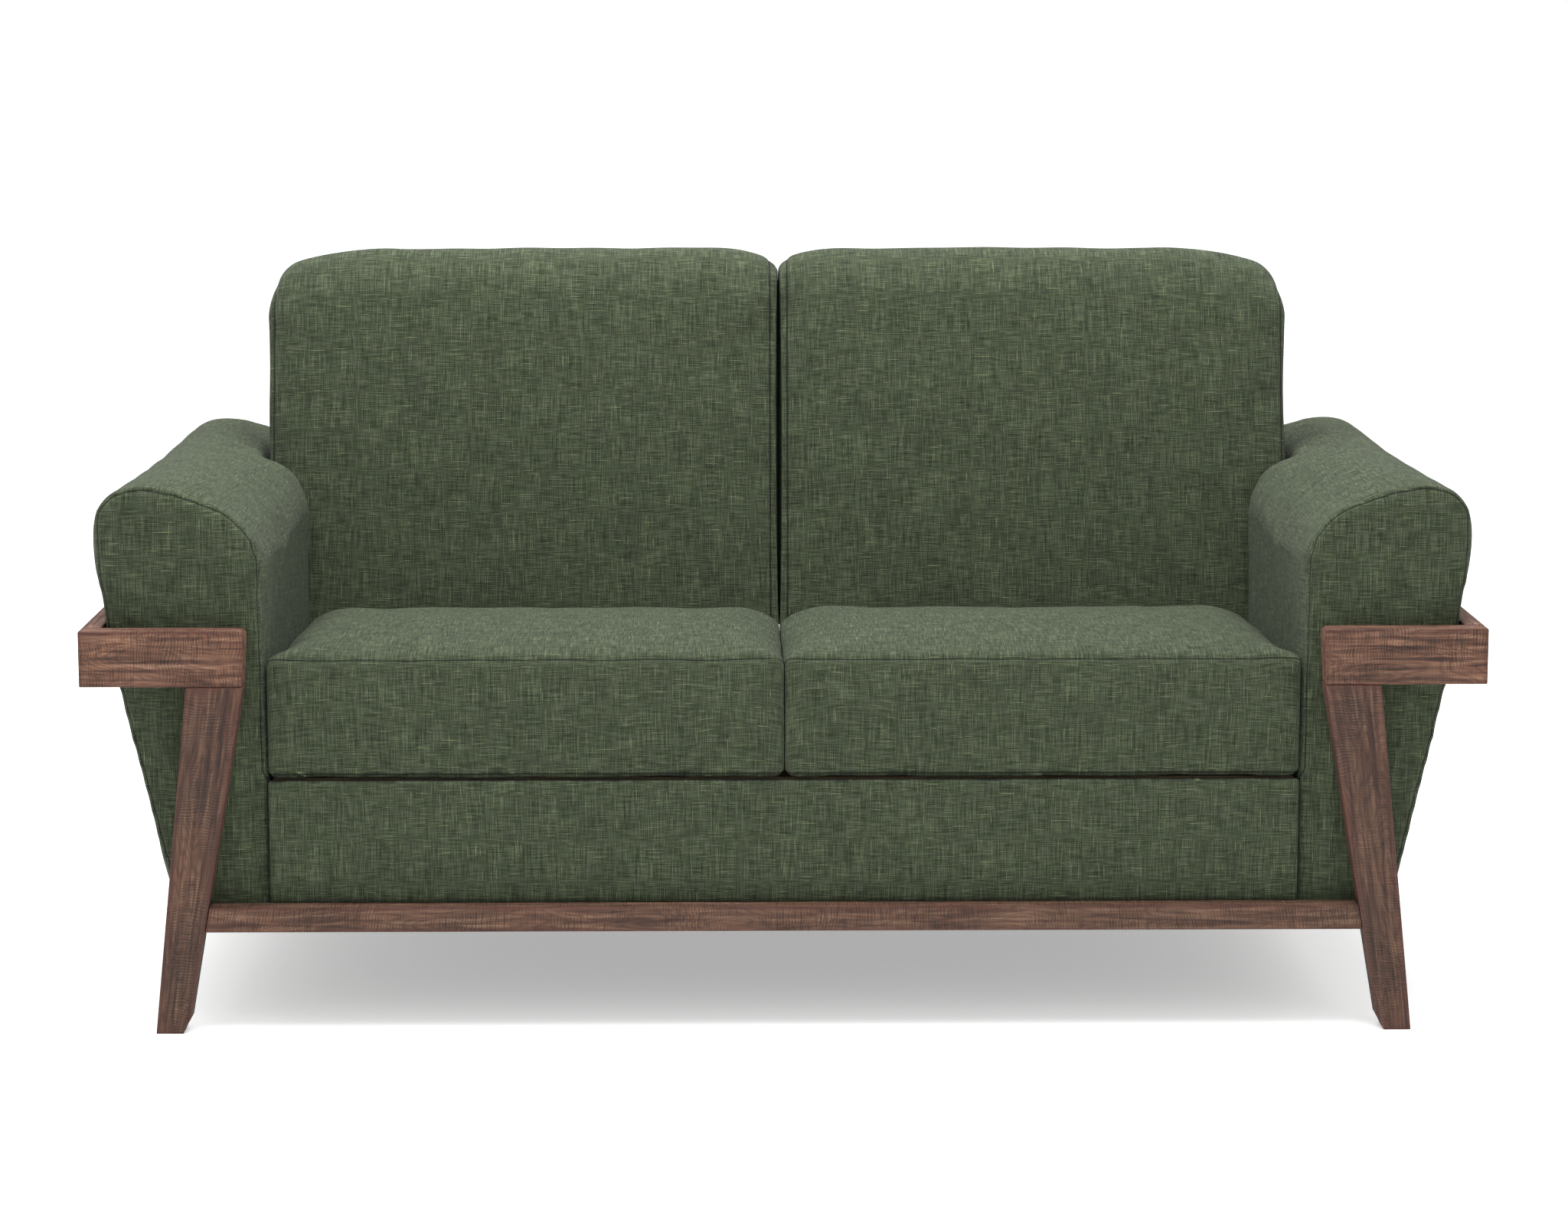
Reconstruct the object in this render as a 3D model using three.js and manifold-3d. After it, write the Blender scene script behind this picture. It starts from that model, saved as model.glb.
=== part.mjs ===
// Two-seat futon sofa bed with a split back that reclines in two halves.
// Millimetres, +Z up, the front faces -Y, +X is the sitter's left. Origin on the floor under the middle.
import * as THREE from "three";
import { mergeVertices } from "three/addons/utils/BufferGeometryUtils.js";
import Module from "manifold-3d";

const wasm = await Module();
wasm.setup();

// Overall sizes
const overallWidth = 1600;
const overallDepth = 860;
const overallHeight = 862;

// Show wood: boards and rail round each arm, legs and sills
const boardThickness = 30;
const boardHeight = 64;
const boardSetIn = 20; // from an arm's inner face to the board's inner end
const boardEndSlant = 3.5; // the inner end leans this much from top to bottom
const boardCornerRadius = 9;
const sideRailThickness = 22;
const legHeight = 404;
const frontLegTopWidth = 65;
const rearLegTopWidth = 50;
const legFootWidth = 37;
const legSplay = 42.5; // how far the foot's outer edge stands out past the leg's top
const legToBoardEnd = 2.5;
const footChamferWidth = 6;
const footChamferHeight = 13;
const sillBottom = 118.5;
const sillHeight = 28.5;
const sillSetBack = 2;
const sideSillWidth = 26;

// Arms
const armWidth = 195;
const armHeight = 630;
const armInset = 13; // the fabric's widest point stands this far inside the side rail's outer face
const armRearDrop = 4; // the top is this much lower at the rear end
const armFrameInset = 74;
const armFrameThickness = 26;
const armFrameTopCover = 64; // padding over the timber frame
const armNotchFloor = 250; // below this height the arm keeps its full width to the rear

// Seat
const seatFrontHeight = 438;
const seatRearHeight = 411;
const seatCrown = 7;
const cushionBottom = 289.5;
const cushionGap = 4; // between the two cushions, and between the two back sections
const cushionSideClearance = 3;
const seatDepth = 470; // front of the apron to the rear of the cushions
const apronSetBack = 26; // from the boards' front faces
const apronPadThickness = 20;
const boxRailThickness = 22;
const boxRailHeight = 118;
const slatCount = 5;
const slatWidth = 50;
const slatThickness = 16;
const apronBoardThickness = 18;
const dustCoverThickness = 2;
const deckThickness = 16;
const rearApronPadThickness = 17;

// Back sections and their recline
const backLean = THREE.MathUtils.degToRad(12);
const backThickness = 150;
const backOverhang = 58; // each section reaches this far past the arms' inner faces
const backFaceOffset = 37; // from the pivot line forward to the padded face
const backBottomOffset = 16; // from the pivot line up to the lower edge of a section
const backLipDrop = 19; // lower front edge of a back section below the pivot line, hiding the gap behind the seat
const backWall = 25; // padding over the sides of the inner frame
const backFrontPadding = 65;
const backTopPadding = 41;
const backCornerRadius = 48;
const backCrownRise = 3.3; // the crown's peak over the point straight up the face from the pivot line
const backSwingClearance = 8;
const backRailHeight = 70;
const backRailThickness = 45;
const backTopRailHeight = 59;
const backStileWidth = 40;
const backPanelThickness = 5;
const pivotHeight = 378;
const pivotBehindSeat = 44;

// Hinges
const pinRadius = 5;
const pinHeadRadius = 9;
const pinHeadThickness = 3.5;
const pinClearance = 0.3;
const hingePlate = 5;
const hingeEyeRadius = 14;
const hingePlateGap = 1;
const hingeFlangeWidth = 40;
const hingeFlangeThickness = 4;
const hingeFlangeHeight = 100;
const hingeInnerOffset = 52; // from the middle of the sofa
const hingeOuterOffset = 57; // from the arm's inner face

// Gap that keeps two touching faces apart
const touch = 0.4;

// Derived places
const halfWidth = overallWidth / 2;
const frontY = -overallDepth / 2;
const rearY = overallDepth / 2;
const woodBackY = frontY + boardThickness;
const armFrontY = woodBackY + touch;
const armRearY = -armFrontY;
const armOuter = halfWidth - armInset;
const armInner = armOuter - armWidth;
const sillTop = sillBottom + sillHeight;
const armBottom = sillTop + touch;
const boardTop = legHeight + boardHeight;
const apronFrontY = frontY + apronSetBack;
const seatRearY = apronFrontY + seatDepth;
const pivotY = seatRearY + pivotBehindSeat;
const boxBottom = sillTop + 2 * touch + dustCoverThickness + touch;
const boxRailTop = boxBottom + boxRailHeight;
const boxFrontY = apronFrontY + apronPadThickness + touch + apronBoardThickness + touch;
const boxOuter = armInner - 2 * touch;
const boxInner = boxOuter - boxRailThickness;
const boxRearY = rearY - boardThickness - rearApronPadThickness - 2 * touch;
const deckTop = armNotchFloor - 2.5;
const deckBottom = deckTop - deckThickness;
const backTop = (overallHeight - pivotHeight) / Math.cos(backLean) + backCrownRise;
const backOuter = armInner + backOverhang;
const backRearFace = backFaceOffset - backThickness;
const armNotchWall = backOuter + backSwingClearance;
const rearWoodInner = armNotchWall + 4;

// Materials, one for each finish
const materials = {
  wood: new THREE.MeshStandardMaterial({ color: 0x755545, roughness: 0.8, metalness: 0 }),
  fabric: new THREE.MeshStandardMaterial({ color: 0x49523f, roughness: 0.95, metalness: 0 }),
  timber: new THREE.MeshStandardMaterial({ color: 0xb99a70, roughness: 0.7, metalness: 0 }),
  backing: new THREE.MeshStandardMaterial({ color: 0x22231f, roughness: 1, metalness: 0 }),
  steel: new THREE.MeshStandardMaterial({ color: 0x3a3c3e, roughness: 0.45, metalness: 0.9 }),
};

const sofa = new THREE.Group();
const backLeft = new THREE.Group();
const backRight = new THREE.Group();
sofa.add(backLeft, backRight);

const sides = [
  { name: "left", sign: -1, back: backLeft },
  { name: "right", sign: 1, back: backRight },
];

function addMesh(name, geometry, material, parent = sofa) {
  const mesh = new THREE.Mesh(geometry, material);
  mesh.name = name;
  parent.add(mesh);
  return mesh;
}

// A box between two values on each axis, given in either order.
function boxBetween([x0, x1], [y0, y1], [z0, z1]) {
  const box = new THREE.BoxGeometry(Math.abs(x1 - x0), Math.abs(y1 - y0), Math.abs(z1 - z0));
  return box.translate((x0 + x1) / 2, (y0 + y1) / 2, (z0 + z1) / 2);
}

// An XZ outline carried along Y.
function extrudeAlongY(shape, y0, y1, curveSegments = 8) {
  const made = new THREE.ExtrudeGeometry(shape, { depth: y1 - y0, bevelEnabled: false, curveSegments });
  return made.rotateX(Math.PI / 2).translate(0, y1, 0);
}

// A YZ outline carried along X.
function extrudeAlongX(shape, x0, x1, curveSegments = 8) {
  const low = Math.min(x0, x1);
  const depth = Math.abs(x1 - x0);
  const made = new THREE.ExtrudeGeometry(shape, { depth, bevelEnabled: false, curveSegments });
  return made.applyMatrix4(new THREE.Matrix4().set(0, 0, 1, low, 1, 0, 0, 0, 0, 1, 0, 0, 0, 0, 0, 1));
}

function polygon(points) {
  return new THREE.Shape(points.map(([a, b]) => new THREE.Vector2(a, b)));
}

function toSolid(geometry) {
  const bare = geometry.clone();
  bare.deleteAttribute("normal");
  bare.deleteAttribute("uv");
  const merged = mergeVertices(bare, 1e-3);
  return new wasm.Manifold(
    new wasm.Mesh({
      numProp: 3,
      vertProperties: merged.attributes.position.array,
      triVerts: new Uint32Array(merged.index.array),
    }),
  );
}

function toGeometry(solid) {
  const mesh = solid.getMesh();
  const geometry = new THREE.BufferGeometry();
  geometry.setAttribute("position", new THREE.BufferAttribute(mesh.vertProperties, 3));
  geometry.setIndex(new THREE.BufferAttribute(mesh.triVerts, 1));
  geometry.computeVertexNormals();
  return geometry;
}

function subtract(body, ...cutters) {
  return toGeometry(cutters.reduce((left, cutter) => left.subtract(toSolid(cutter)), toSolid(body)));
}

// A point of the back section's own frame, u up its face and v forward of the pivot, in Y and Z.
function backPoint(u, v) {
  return [
    pivotY + u * Math.sin(backLean) - v * Math.cos(backLean),
    pivotHeight + u * Math.cos(backLean) + v * Math.sin(backLean),
  ];
}

// How far from the middle a leg's inner edge stands at a height.
function legInnerEdge(topInner, height) {
  const footInner = legFootOuter() - legFootWidth;
  return topInner + ((footInner - topInner) * (legHeight - height)) / legHeight;
}

function frontLegInner() {
  return armInner + boardSetIn + legToBoardEnd;
}

function legFootOuter() {
  return frontLegInner() + frontLegTopWidth + legSplay;
}

// A tapered leg that leans outwards, its inner foot corner cut off.
function legOutline(sign, topInner, topWidth) {
  const footOuter = legFootOuter();
  const footInner = footOuter - legFootWidth;
  return polygon([
    [sign * topInner, legHeight - touch],
    [sign * (topInner + topWidth), legHeight - touch],
    [sign * footOuter, 0],
    [sign * (footInner + footChamferWidth), 0],
    [sign * legInnerEdge(topInner, footChamferHeight), footChamferHeight],
  ]);
}

function addLegs() {
  for (const { name, sign } of sides) {
    const front = legOutline(sign, frontLegInner(), frontLegTopWidth);
    const rear = legOutline(sign, rearWoodInner, rearLegTopWidth);
    addMesh(`front_leg_${name}`, extrudeAlongY(front, frontY, woodBackY), materials.wood);
    addMesh(`rear_leg_${name}`, extrudeAlongY(rear, -woodBackY, rearY), materials.wood);
  }
}

// A board across the end of an arm, its inner top corner rounded.
function boardOutline(sign, inner) {
  const shape = new THREE.Shape();
  shape.moveTo(sign * halfWidth, legHeight);
  shape.lineTo(sign * halfWidth, boardTop);
  shape.lineTo(sign * (inner + boardCornerRadius), boardTop);
  shape.quadraticCurveTo(sign * inner, boardTop, sign * inner, boardTop - boardCornerRadius);
  shape.lineTo(sign * (inner + boardEndSlant), legHeight);
  return shape;
}

function addArmWood() {
  for (const { name, sign } of sides) {
    const front = boardOutline(sign, armInner + boardSetIn);
    const rear = boardOutline(sign, rearWoodInner - boardEndSlant);
    addMesh(`front_arm_board_${name}`, extrudeAlongY(front, frontY, woodBackY, 6), materials.wood);
    addMesh(`rear_arm_board_${name}`, extrudeAlongY(rear, -woodBackY, rearY, 6), materials.wood);
    addMesh(
      `side_arm_rail_${name}`,
      boxBetween(
        [sign * (halfWidth - sideRailThickness), sign * halfWidth],
        [woodBackY + touch, -woodBackY - touch],
        [legHeight, boardTop],
      ),
      materials.wood,
    );
  }
}

// A sill between two legs, its ends cut to the slant of their inner edges.
function sillOutline(legTopInner) {
  const topEnd = legInnerEdge(legTopInner, sillTop) - touch;
  const bottomEnd = legInnerEdge(legTopInner, sillBottom) - touch;
  return polygon([
    [-bottomEnd, sillBottom],
    [bottomEnd, sillBottom],
    [topEnd, sillTop],
    [-topEnd, sillTop],
  ]);
}

function addSills() {
  const front = extrudeAlongY(sillOutline(frontLegInner()), frontY + sillSetBack, woodBackY);
  const rear = extrudeAlongY(sillOutline(rearWoodInner), -woodBackY, rearY - sillSetBack);
  addMesh("front_sill", front, materials.wood);
  addMesh("rear_sill", rear, materials.wood);
  const sillInner = armInner + armFrameInset + 8;
  for (const { name, sign } of sides)
    addMesh(
      `side_sill_${name}`,
      boxBetween(
        [sign * sillInner, sign * (sillInner + sideSillWidth)],
        [woodBackY + touch, -woodBackY - touch],
        [sillBottom, sillTop],
      ),
      materials.wood,
    );
}

// The arm's outline, from the inner face over the round top to the tapering outer side.
function armOutline(sign) {
  const at = (share, z) => [sign * (armInner + share * armWidth), z];
  const shape = new THREE.Shape();
  shape.moveTo(...at(0, armBottom));
  shape.lineTo(...at(0, armHeight - 109));
  shape.bezierCurveTo(...at(0, armHeight - 64), ...at(0.08, armHeight - 36), ...at(0.31, armHeight - 19));
  shape.bezierCurveTo(...at(0.44, armHeight - 9), ...at(0.57, armHeight), ...at(0.71, armHeight));
  shape.bezierCurveTo(...at(0.86, armHeight), ...at(1, armHeight - 13), ...at(1, armHeight - 50));
  shape.bezierCurveTo(...at(1, armHeight - 94), ...at(0.94, boardTop - 4), ...at(0.87, legHeight));
  shape.bezierCurveTo(...at(0.81, legHeight - 60), ...at(0.67, armBottom + 74), ...at(0.565, armBottom));
  return shape;
}

// The room that the back section needs beside the arm: behind its face and above the arm's low rear part.
function armNotch(sign) {
  const front = backFaceOffset + backSwingClearance;
  const notchFrontY = seatRearY + 2;
  const cornerU = (notchFrontY - pivotY + front * Math.cos(backLean)) / Math.sin(backLean);
  const beyond = rearY + 50;
  const top = backPoint(backTop, front);
  const outline = polygon([
    [notchFrontY, armNotchFloor],
    [notchFrontY, backPoint(cornerU, front)[1]],
    top,
    [beyond, top[1]],
    [beyond, armNotchFloor],
  ]);
  return extrudeAlongX(outline, sign * (armInner - 10), sign * armNotchWall);
}

// Lowers the top towards the rear, and leaves everything under the wood boards as it is.
function dropArmRear(geometry) {
  const position = geometry.attributes.position;
  for (let i = 0; i < position.count; i++) {
    const along = (position.getY(i) - armFrontY) / (armRearY - armFrontY);
    const up = THREE.MathUtils.clamp((position.getZ(i) - boardTop) / (armHeight - boardTop), 0, 1);
    position.setZ(i, position.getZ(i) - armRearDrop * along * up);
  }
  return geometry;
}

function addArms() {
  for (const { name, sign } of sides) {
    const frameInner = armInner + armFrameInset;
    const frameOuter = frameInner + armFrameThickness;
    const frameTop = armHeight - armFrameTopCover;
    const frameEnd = -armFrontY - 30;
    const hollow = boxBetween(
      [sign * (frameInner - touch), sign * (frameOuter + touch)],
      [-frameEnd - touch, frameEnd + touch],
      [armBottom - 5, frameTop + touch],
    );
    const padding = dropArmRear(extrudeAlongY(armOutline(sign), armFrontY, armRearY, 8));
    addMesh(`arm_pad_${name}`, subtract(padding, armNotch(sign), hollow), materials.fabric);
    addMesh(
      `arm_frame_${name}`,
      boxBetween([sign * frameInner, sign * frameOuter], [-frameEnd, frameEnd], [armBottom, frameTop]),
      materials.timber,
    );
  }
}

function addAprons() {
  const apronTop = cushionBottom - 1.5;
  const padBottom = sillTop + touch;
  const boardY = apronFrontY + apronPadThickness + touch;
  addMesh(
    "apron_pad",
    boxBetween([-armInner + 2, armInner - 2], [apronFrontY, apronFrontY + apronPadThickness], [padBottom, apronTop]),
    materials.fabric,
  );
  addMesh(
    "apron_board",
    boxBetween([-boxOuter, boxOuter], [boardY, boardY + apronBoardThickness], [boxBottom, apronTop - 14]),
    materials.timber,
  );
  const rearPadY = boxRearY + touch;
  addMesh(
    "rear_apron_pad",
    boxBetween([-armInner + 2, armInner - 2], [rearPadY, rearPadY + rearApronPadThickness], [padBottom, deckTop]),
    materials.fabric,
  );
  addMesh(
    "rear_apron_board",
    boxBetween([-boxOuter, boxOuter], [boxRearY - apronBoardThickness, boxRearY], [boxBottom, deckBottom - touch]),
    materials.timber,
  );
}

// The box under the seat: side rails with a low rear part, a rear rail, a joist, slats and a deck board.
function addSeatBox() {
  const railRearY = seatRearY - 2;
  const railFrontY = railRearY - boxRailThickness;
  const sideEndY = boxRearY - apronBoardThickness - touch;
  for (const { name, sign } of sides) {
    const outline = polygon([
      [boxFrontY, boxBottom],
      [sideEndY, boxBottom],
      [sideEndY, deckBottom - touch],
      [railRearY, deckBottom - touch],
      [railRearY, boxRailTop],
      [boxFrontY, boxRailTop],
    ]);
    addMesh(
      `seat_side_rail_${name}`,
      extrudeAlongX(outline, sign * boxInner, sign * boxOuter),
      materials.timber,
    );
  }
  const between = boxInner - touch;
  addMesh(
    "seat_rear_rail",
    boxBetween([-between, between], [railFrontY, railRearY], [boxBottom, boxRailTop]),
    materials.timber,
  );
  addMesh(
    "seat_centre_joist",
    boxBetween([-12, 12], [boxFrontY, railFrontY - touch], [boxBottom, boxRailTop]),
    materials.timber,
  );
  const slatPitch = (railRearY - boxFrontY - slatWidth - 20) / (slatCount - 1);
  for (let i = 0; i < slatCount; i++) {
    const slatY = boxFrontY + 10 + i * slatPitch;
    addMesh(
      `seat_slat_${i + 1}`,
      boxBetween([-boxOuter, boxOuter], [slatY, slatY + slatWidth], [boxRailTop + touch, boxRailTop + slatThickness]),
      materials.timber,
    );
  }
  addMesh(
    "rear_deck",
    boxBetween([-boxOuter, boxOuter], [pivotY + hingeEyeRadius + 6, boxRearY], [deckBottom, deckTop]),
    materials.timber,
  );
  const coverZ = sillTop + 2 * touch;
  addMesh(
    "dust_cover",
    boxBetween(
      [-boxOuter, boxOuter],
      [apronFrontY + apronPadThickness + touch, boxRearY],
      [coverZ, coverZ + dustCoverThickness],
    ),
    materials.backing,
  );
}

// Boxed seat cushions: a crowned top that falls towards the back, with rounded edges.
function addSeatCushions() {
  const edge = 22;
  const middleY = (apronFrontY + seatRearY) / 2;
  const middleTop = (seatFrontHeight + seatRearHeight) / 2 + 2 * seatCrown;
  const outline = new THREE.Shape();
  outline.moveTo(apronFrontY + edge / 2, cushionBottom);
  outline.quadraticCurveTo(apronFrontY, cushionBottom, apronFrontY, cushionBottom + edge / 2);
  outline.lineTo(apronFrontY, seatFrontHeight - edge);
  outline.quadraticCurveTo(apronFrontY, seatFrontHeight, apronFrontY + edge, seatFrontHeight + 2);
  outline.quadraticCurveTo(middleY, middleTop, seatRearY - edge, seatRearHeight + 4);
  outline.quadraticCurveTo(seatRearY, seatRearHeight, seatRearY, seatRearHeight - edge);
  outline.lineTo(seatRearY, cushionBottom);
  for (const { name, sign } of sides)
    addMesh(
      `seat_cushion_${name}`,
      extrudeAlongX(outline, (sign * cushionGap) / 2, sign * (armInner - cushionSideClearance), 8),
      materials.fabric,
    );
}

// One padded back section, made upright about its pivot line and then leant by its group.
function addBackSection({ name, sign, back }) {
  back.position.set(0, pivotY, pivotHeight);
  back.rotation.x = -backLean;
  const inner = cushionGap / 2;
  const side = new THREE.Shape();
  side.moveTo(-backFaceOffset, 5 - backLipDrop);
  side.lineTo(-backFaceOffset, backTop - 75);
  side.bezierCurveTo(-backFaceOffset, backTop - 25, -backFaceOffset + 30, backTop, 20, backTop);
  side.bezierCurveTo(70, backTop, -backRearFace, backTop - 12, -backRearFace, backTop - 55);
  side.lineTo(-backRearFace, backBottomOffset);
  side.lineTo(-8, backBottomOffset);
  side.lineTo(-backFaceOffset + 7, 1.5 - backLipDrop);
  side.lineTo(-backFaceOffset + 3, -backLipDrop);
  const front = new THREE.Shape();
  front.moveTo(sign * inner, -backLipDrop - 1);
  front.lineTo(sign * inner, backTop - 30);
  front.quadraticCurveTo(sign * inner, backTop - 6, sign * (inner + 36), backTop - 3);
  front.quadraticCurveTo(sign * (backOuter / 2), backTop + 3, sign * (backOuter - 120), backTop - 4);
  front.quadraticCurveTo(sign * backOuter, backTop - 10, sign * backOuter, backTop - 2.4 * backCornerRadius);
  front.lineTo(sign * backOuter, -backLipDrop - 1);
  const block = extrudeAlongX(side, sign * inner, sign * backOuter, 7);
  const frontCut = extrudeAlongY(front, -backFaceOffset - 1, -backRearFace + 1, 6);
  const frameInner = inner + backWall;
  const frameOuter = backOuter - backWall;
  const frameFront = -backFaceOffset + backFrontPadding;
  const frameTop = backTop - backTopPadding;
  const hollow = boxBetween(
    [sign * frameInner, sign * frameOuter],
    [frameFront, -backRearFace + 5],
    [backBottomOffset - 5, frameTop],
  );
  const cover = toSolid(block).intersect(toSolid(frontCut)).subtract(toSolid(hollow));
  addMesh(`back_pad_${name}`, toGeometry(cover), materials.fabric, back);

  const railY = frameFront + 2 * touch + hingeFlangeThickness + touch;
  const rails = [railY, railY + backRailThickness];
  const bottomZ = backBottomOffset + touch;
  const railX = [sign * (frameInner + touch), sign * (frameOuter - touch)];
  const topRailZ = frameTop - touch - backTopRailHeight;
  addMesh(
    `back_bottom_rail_${name}`,
    boxBetween(railX, rails, [bottomZ, bottomZ + backRailHeight]),
    materials.timber,
    back,
  );
  addMesh(
    `back_top_rail_${name}`,
    boxBetween(railX, rails, [topRailZ, frameTop - touch]),
    materials.timber,
    back,
  );
  const stiles = [
    ["inner", frameInner + touch],
    ["outer", frameOuter - touch - backStileWidth],
  ];
  for (const [place, x] of stiles)
    addMesh(
      `back_${place}_stile_${name}`,
      boxBetween([sign * x, sign * (x + backStileWidth)], rails, [bottomZ + backRailHeight + touch, topRailZ - touch]),
      materials.timber,
      back,
    );
  addMesh(
    `back_rear_panel_${name}`,
    boxBetween(railX, [-backRearFace - backPanelThickness, -backRearFace], [bottomZ, frameTop - touch]),
    materials.fabric,
    back,
  );
}

// A reclining hinge: a bracket on the seat box, an arm under the back section, and a headed pin.
function addHinge(place, { name, sign, back }) {
  const middle = sign * (place === "inner" ? hingeInnerOffset : armInner - hingeOuterOffset);
  const flangeX = [middle - hingeFlangeWidth / 2, middle + hingeFlangeWidth / 2];
  const fixedX = [middle - hingePlateGap / 2 - hingePlate, middle - hingePlateGap / 2];
  const movingX = [middle + hingePlateGap / 2, middle + hingePlateGap / 2 + hingePlate];
  const holeRadius = pinRadius + pinClearance;
  const hole = () => new THREE.Path().absarc(0, 0, holeRadius, 0, 2 * Math.PI);

  const flangeY = seatRearY - 2 + touch;
  const webFront = flangeY - pivotY + hingeFlangeThickness - 1;
  const webTop = boxRailTop - pivotHeight;
  const bracket = new THREE.Shape();
  bracket.moveTo(webFront, webTop - hingeFlangeHeight);
  bracket.lineTo(-hingeEyeRadius, webTop - hingeFlangeHeight);
  bracket.lineTo(-3, -3 * hingeEyeRadius);
  bracket.absarc(0, 0, hingeEyeRadius, -0.4, Math.PI * 0.85);
  bracket.lineTo(webFront, -2 * hingeEyeRadius);
  bracket.holes.push(hole());
  const web = extrudeAlongX(bracket, ...fixedX, 20).translate(0, pivotY, pivotHeight);
  const flange = boxBetween(
    flangeX,
    [flangeY, flangeY + hingeFlangeThickness],
    [boxRailTop - hingeFlangeHeight, boxRailTop - 3],
  );
  addMesh(`hinge_bracket_${place}_${name}`, toGeometry(toSolid(web).add(toSolid(flange))), materials.steel);

  const armFlangeY = -backFaceOffset + backFrontPadding + touch;
  const lever = new THREE.Shape();
  lever.moveTo(0, -hingeEyeRadius);
  lever.lineTo(armFlangeY + 2, -6);
  lever.lineTo(armFlangeY + 2, hingeEyeRadius);
  lever.lineTo(0, hingeEyeRadius);
  lever.absarc(0, 0, hingeEyeRadius, Math.PI / 2, Math.PI * 1.5);
  lever.holes.push(hole());
  const leverPlate = extrudeAlongX(lever, ...movingX, 20);
  const leverFlange = boxBetween(
    flangeX,
    [armFlangeY, armFlangeY + hingeFlangeThickness],
    [6, backBottomOffset + backRailHeight - 6],
  );
  addMesh(
    `hinge_arm_${place}_${name}`,
    toGeometry(toSolid(leverPlate).add(toSolid(leverFlange))),
    materials.steel,
    back,
  );

  const reach = hingePlateGap / 2 + hingePlate + touch;
  const pinProfile = [
    [0, -reach - pinHeadThickness],
    [pinHeadRadius, -reach - pinHeadThickness],
    [pinHeadRadius, -reach],
    [pinRadius, -reach],
    [pinRadius, reach],
    [pinHeadRadius, reach],
    [pinHeadRadius, reach + pinHeadThickness],
    [0, reach + pinHeadThickness],
  ].map(([r, h]) => new THREE.Vector2(r, h));
  const pin = addMesh(`hinge_pin_${place}_${name}`, new THREE.LatheGeometry(pinProfile, 20), materials.steel);
  pin.position.set(middle, pivotY, pivotHeight);
  pin.rotation.z = Math.PI / 2;
}

addLegs();
addArmWood();
addSills();
addArms();
addAprons();
addSeatBox();
addSeatCushions();
for (const side of sides) {
  addBackSection(side);
  addHinge("inner", side);
  addHinge("outer", side);
}

export default sofa;
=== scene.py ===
import math

import bpy
import numpy as np
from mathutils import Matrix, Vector


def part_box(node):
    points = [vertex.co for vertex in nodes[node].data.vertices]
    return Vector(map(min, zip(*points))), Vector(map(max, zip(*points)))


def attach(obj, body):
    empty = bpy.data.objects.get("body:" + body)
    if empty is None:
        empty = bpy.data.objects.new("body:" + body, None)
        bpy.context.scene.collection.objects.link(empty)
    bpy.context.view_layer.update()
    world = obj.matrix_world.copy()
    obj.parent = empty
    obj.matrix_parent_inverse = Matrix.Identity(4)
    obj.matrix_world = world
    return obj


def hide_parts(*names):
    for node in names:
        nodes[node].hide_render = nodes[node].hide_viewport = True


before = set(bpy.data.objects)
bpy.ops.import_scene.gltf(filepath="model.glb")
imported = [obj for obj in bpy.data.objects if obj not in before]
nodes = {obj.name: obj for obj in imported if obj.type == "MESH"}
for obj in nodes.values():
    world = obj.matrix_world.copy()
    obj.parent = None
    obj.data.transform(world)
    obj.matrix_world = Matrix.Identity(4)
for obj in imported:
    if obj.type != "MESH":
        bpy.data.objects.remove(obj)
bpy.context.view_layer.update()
print("frame loaded")

sides = {"left": -1, "right": 1}  # the sign of X on each side

# camera, lights and floor
cameraView = dict(place=(-0.0605, -4.8219, 1.1703), yaw=0.776, pitch=8.685, lens=90.14, film=36)
studio = dict(
    floorTone=0.9, floorGlow=0.35, floorReach=60, skyTone=1.0, skyStrength=1.0,
    lamps={  # place, target, size, watts and tint
        "key": ((2.3, -3.6, 2.9), (0, 0, 0.5), (2.6, 2.0), 14, (1, 0.98, 0.95)),
        "top": ((-0.2, -0.5, 3.4), (0, 0, 0.3), (3.0, 2.2), 270, (1, 1, 1)),
        "fill": ((-3.4, -3.2, 1.6), (0, 0, 0.4), (2.4, 2.0), 4, (0.96, 0.98, 1)),
    },
)


def addCamera():
    data = bpy.data.cameras.new("camera")
    data.lens = cameraView["lens"]
    data.sensor_width = cameraView["film"]
    camera = bpy.data.objects.new("camera", data)
    bpy.context.scene.collection.objects.link(camera)
    camera.location = cameraView["place"]
    pitch, yaw = math.radians(cameraView["pitch"]), math.radians(cameraView["yaw"])
    camera.rotation_euler = (math.pi / 2 - pitch, 0, -yaw)
    bpy.context.scene.camera = camera


def addLamp(name, place, target, size, watts, tint):
    data = bpy.data.lights.new(name, "AREA")
    data.shape = "RECTANGLE"
    data.size, data.size_y = size
    data.energy = watts
    data.color = tint
    lamp = bpy.data.objects.new(name, data)
    bpy.context.scene.collection.objects.link(lamp)
    lamp.location = place
    lamp.rotation_euler = (Vector(target) - Vector(place)).to_track_quat("-Z", "Y").to_euler()


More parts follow.
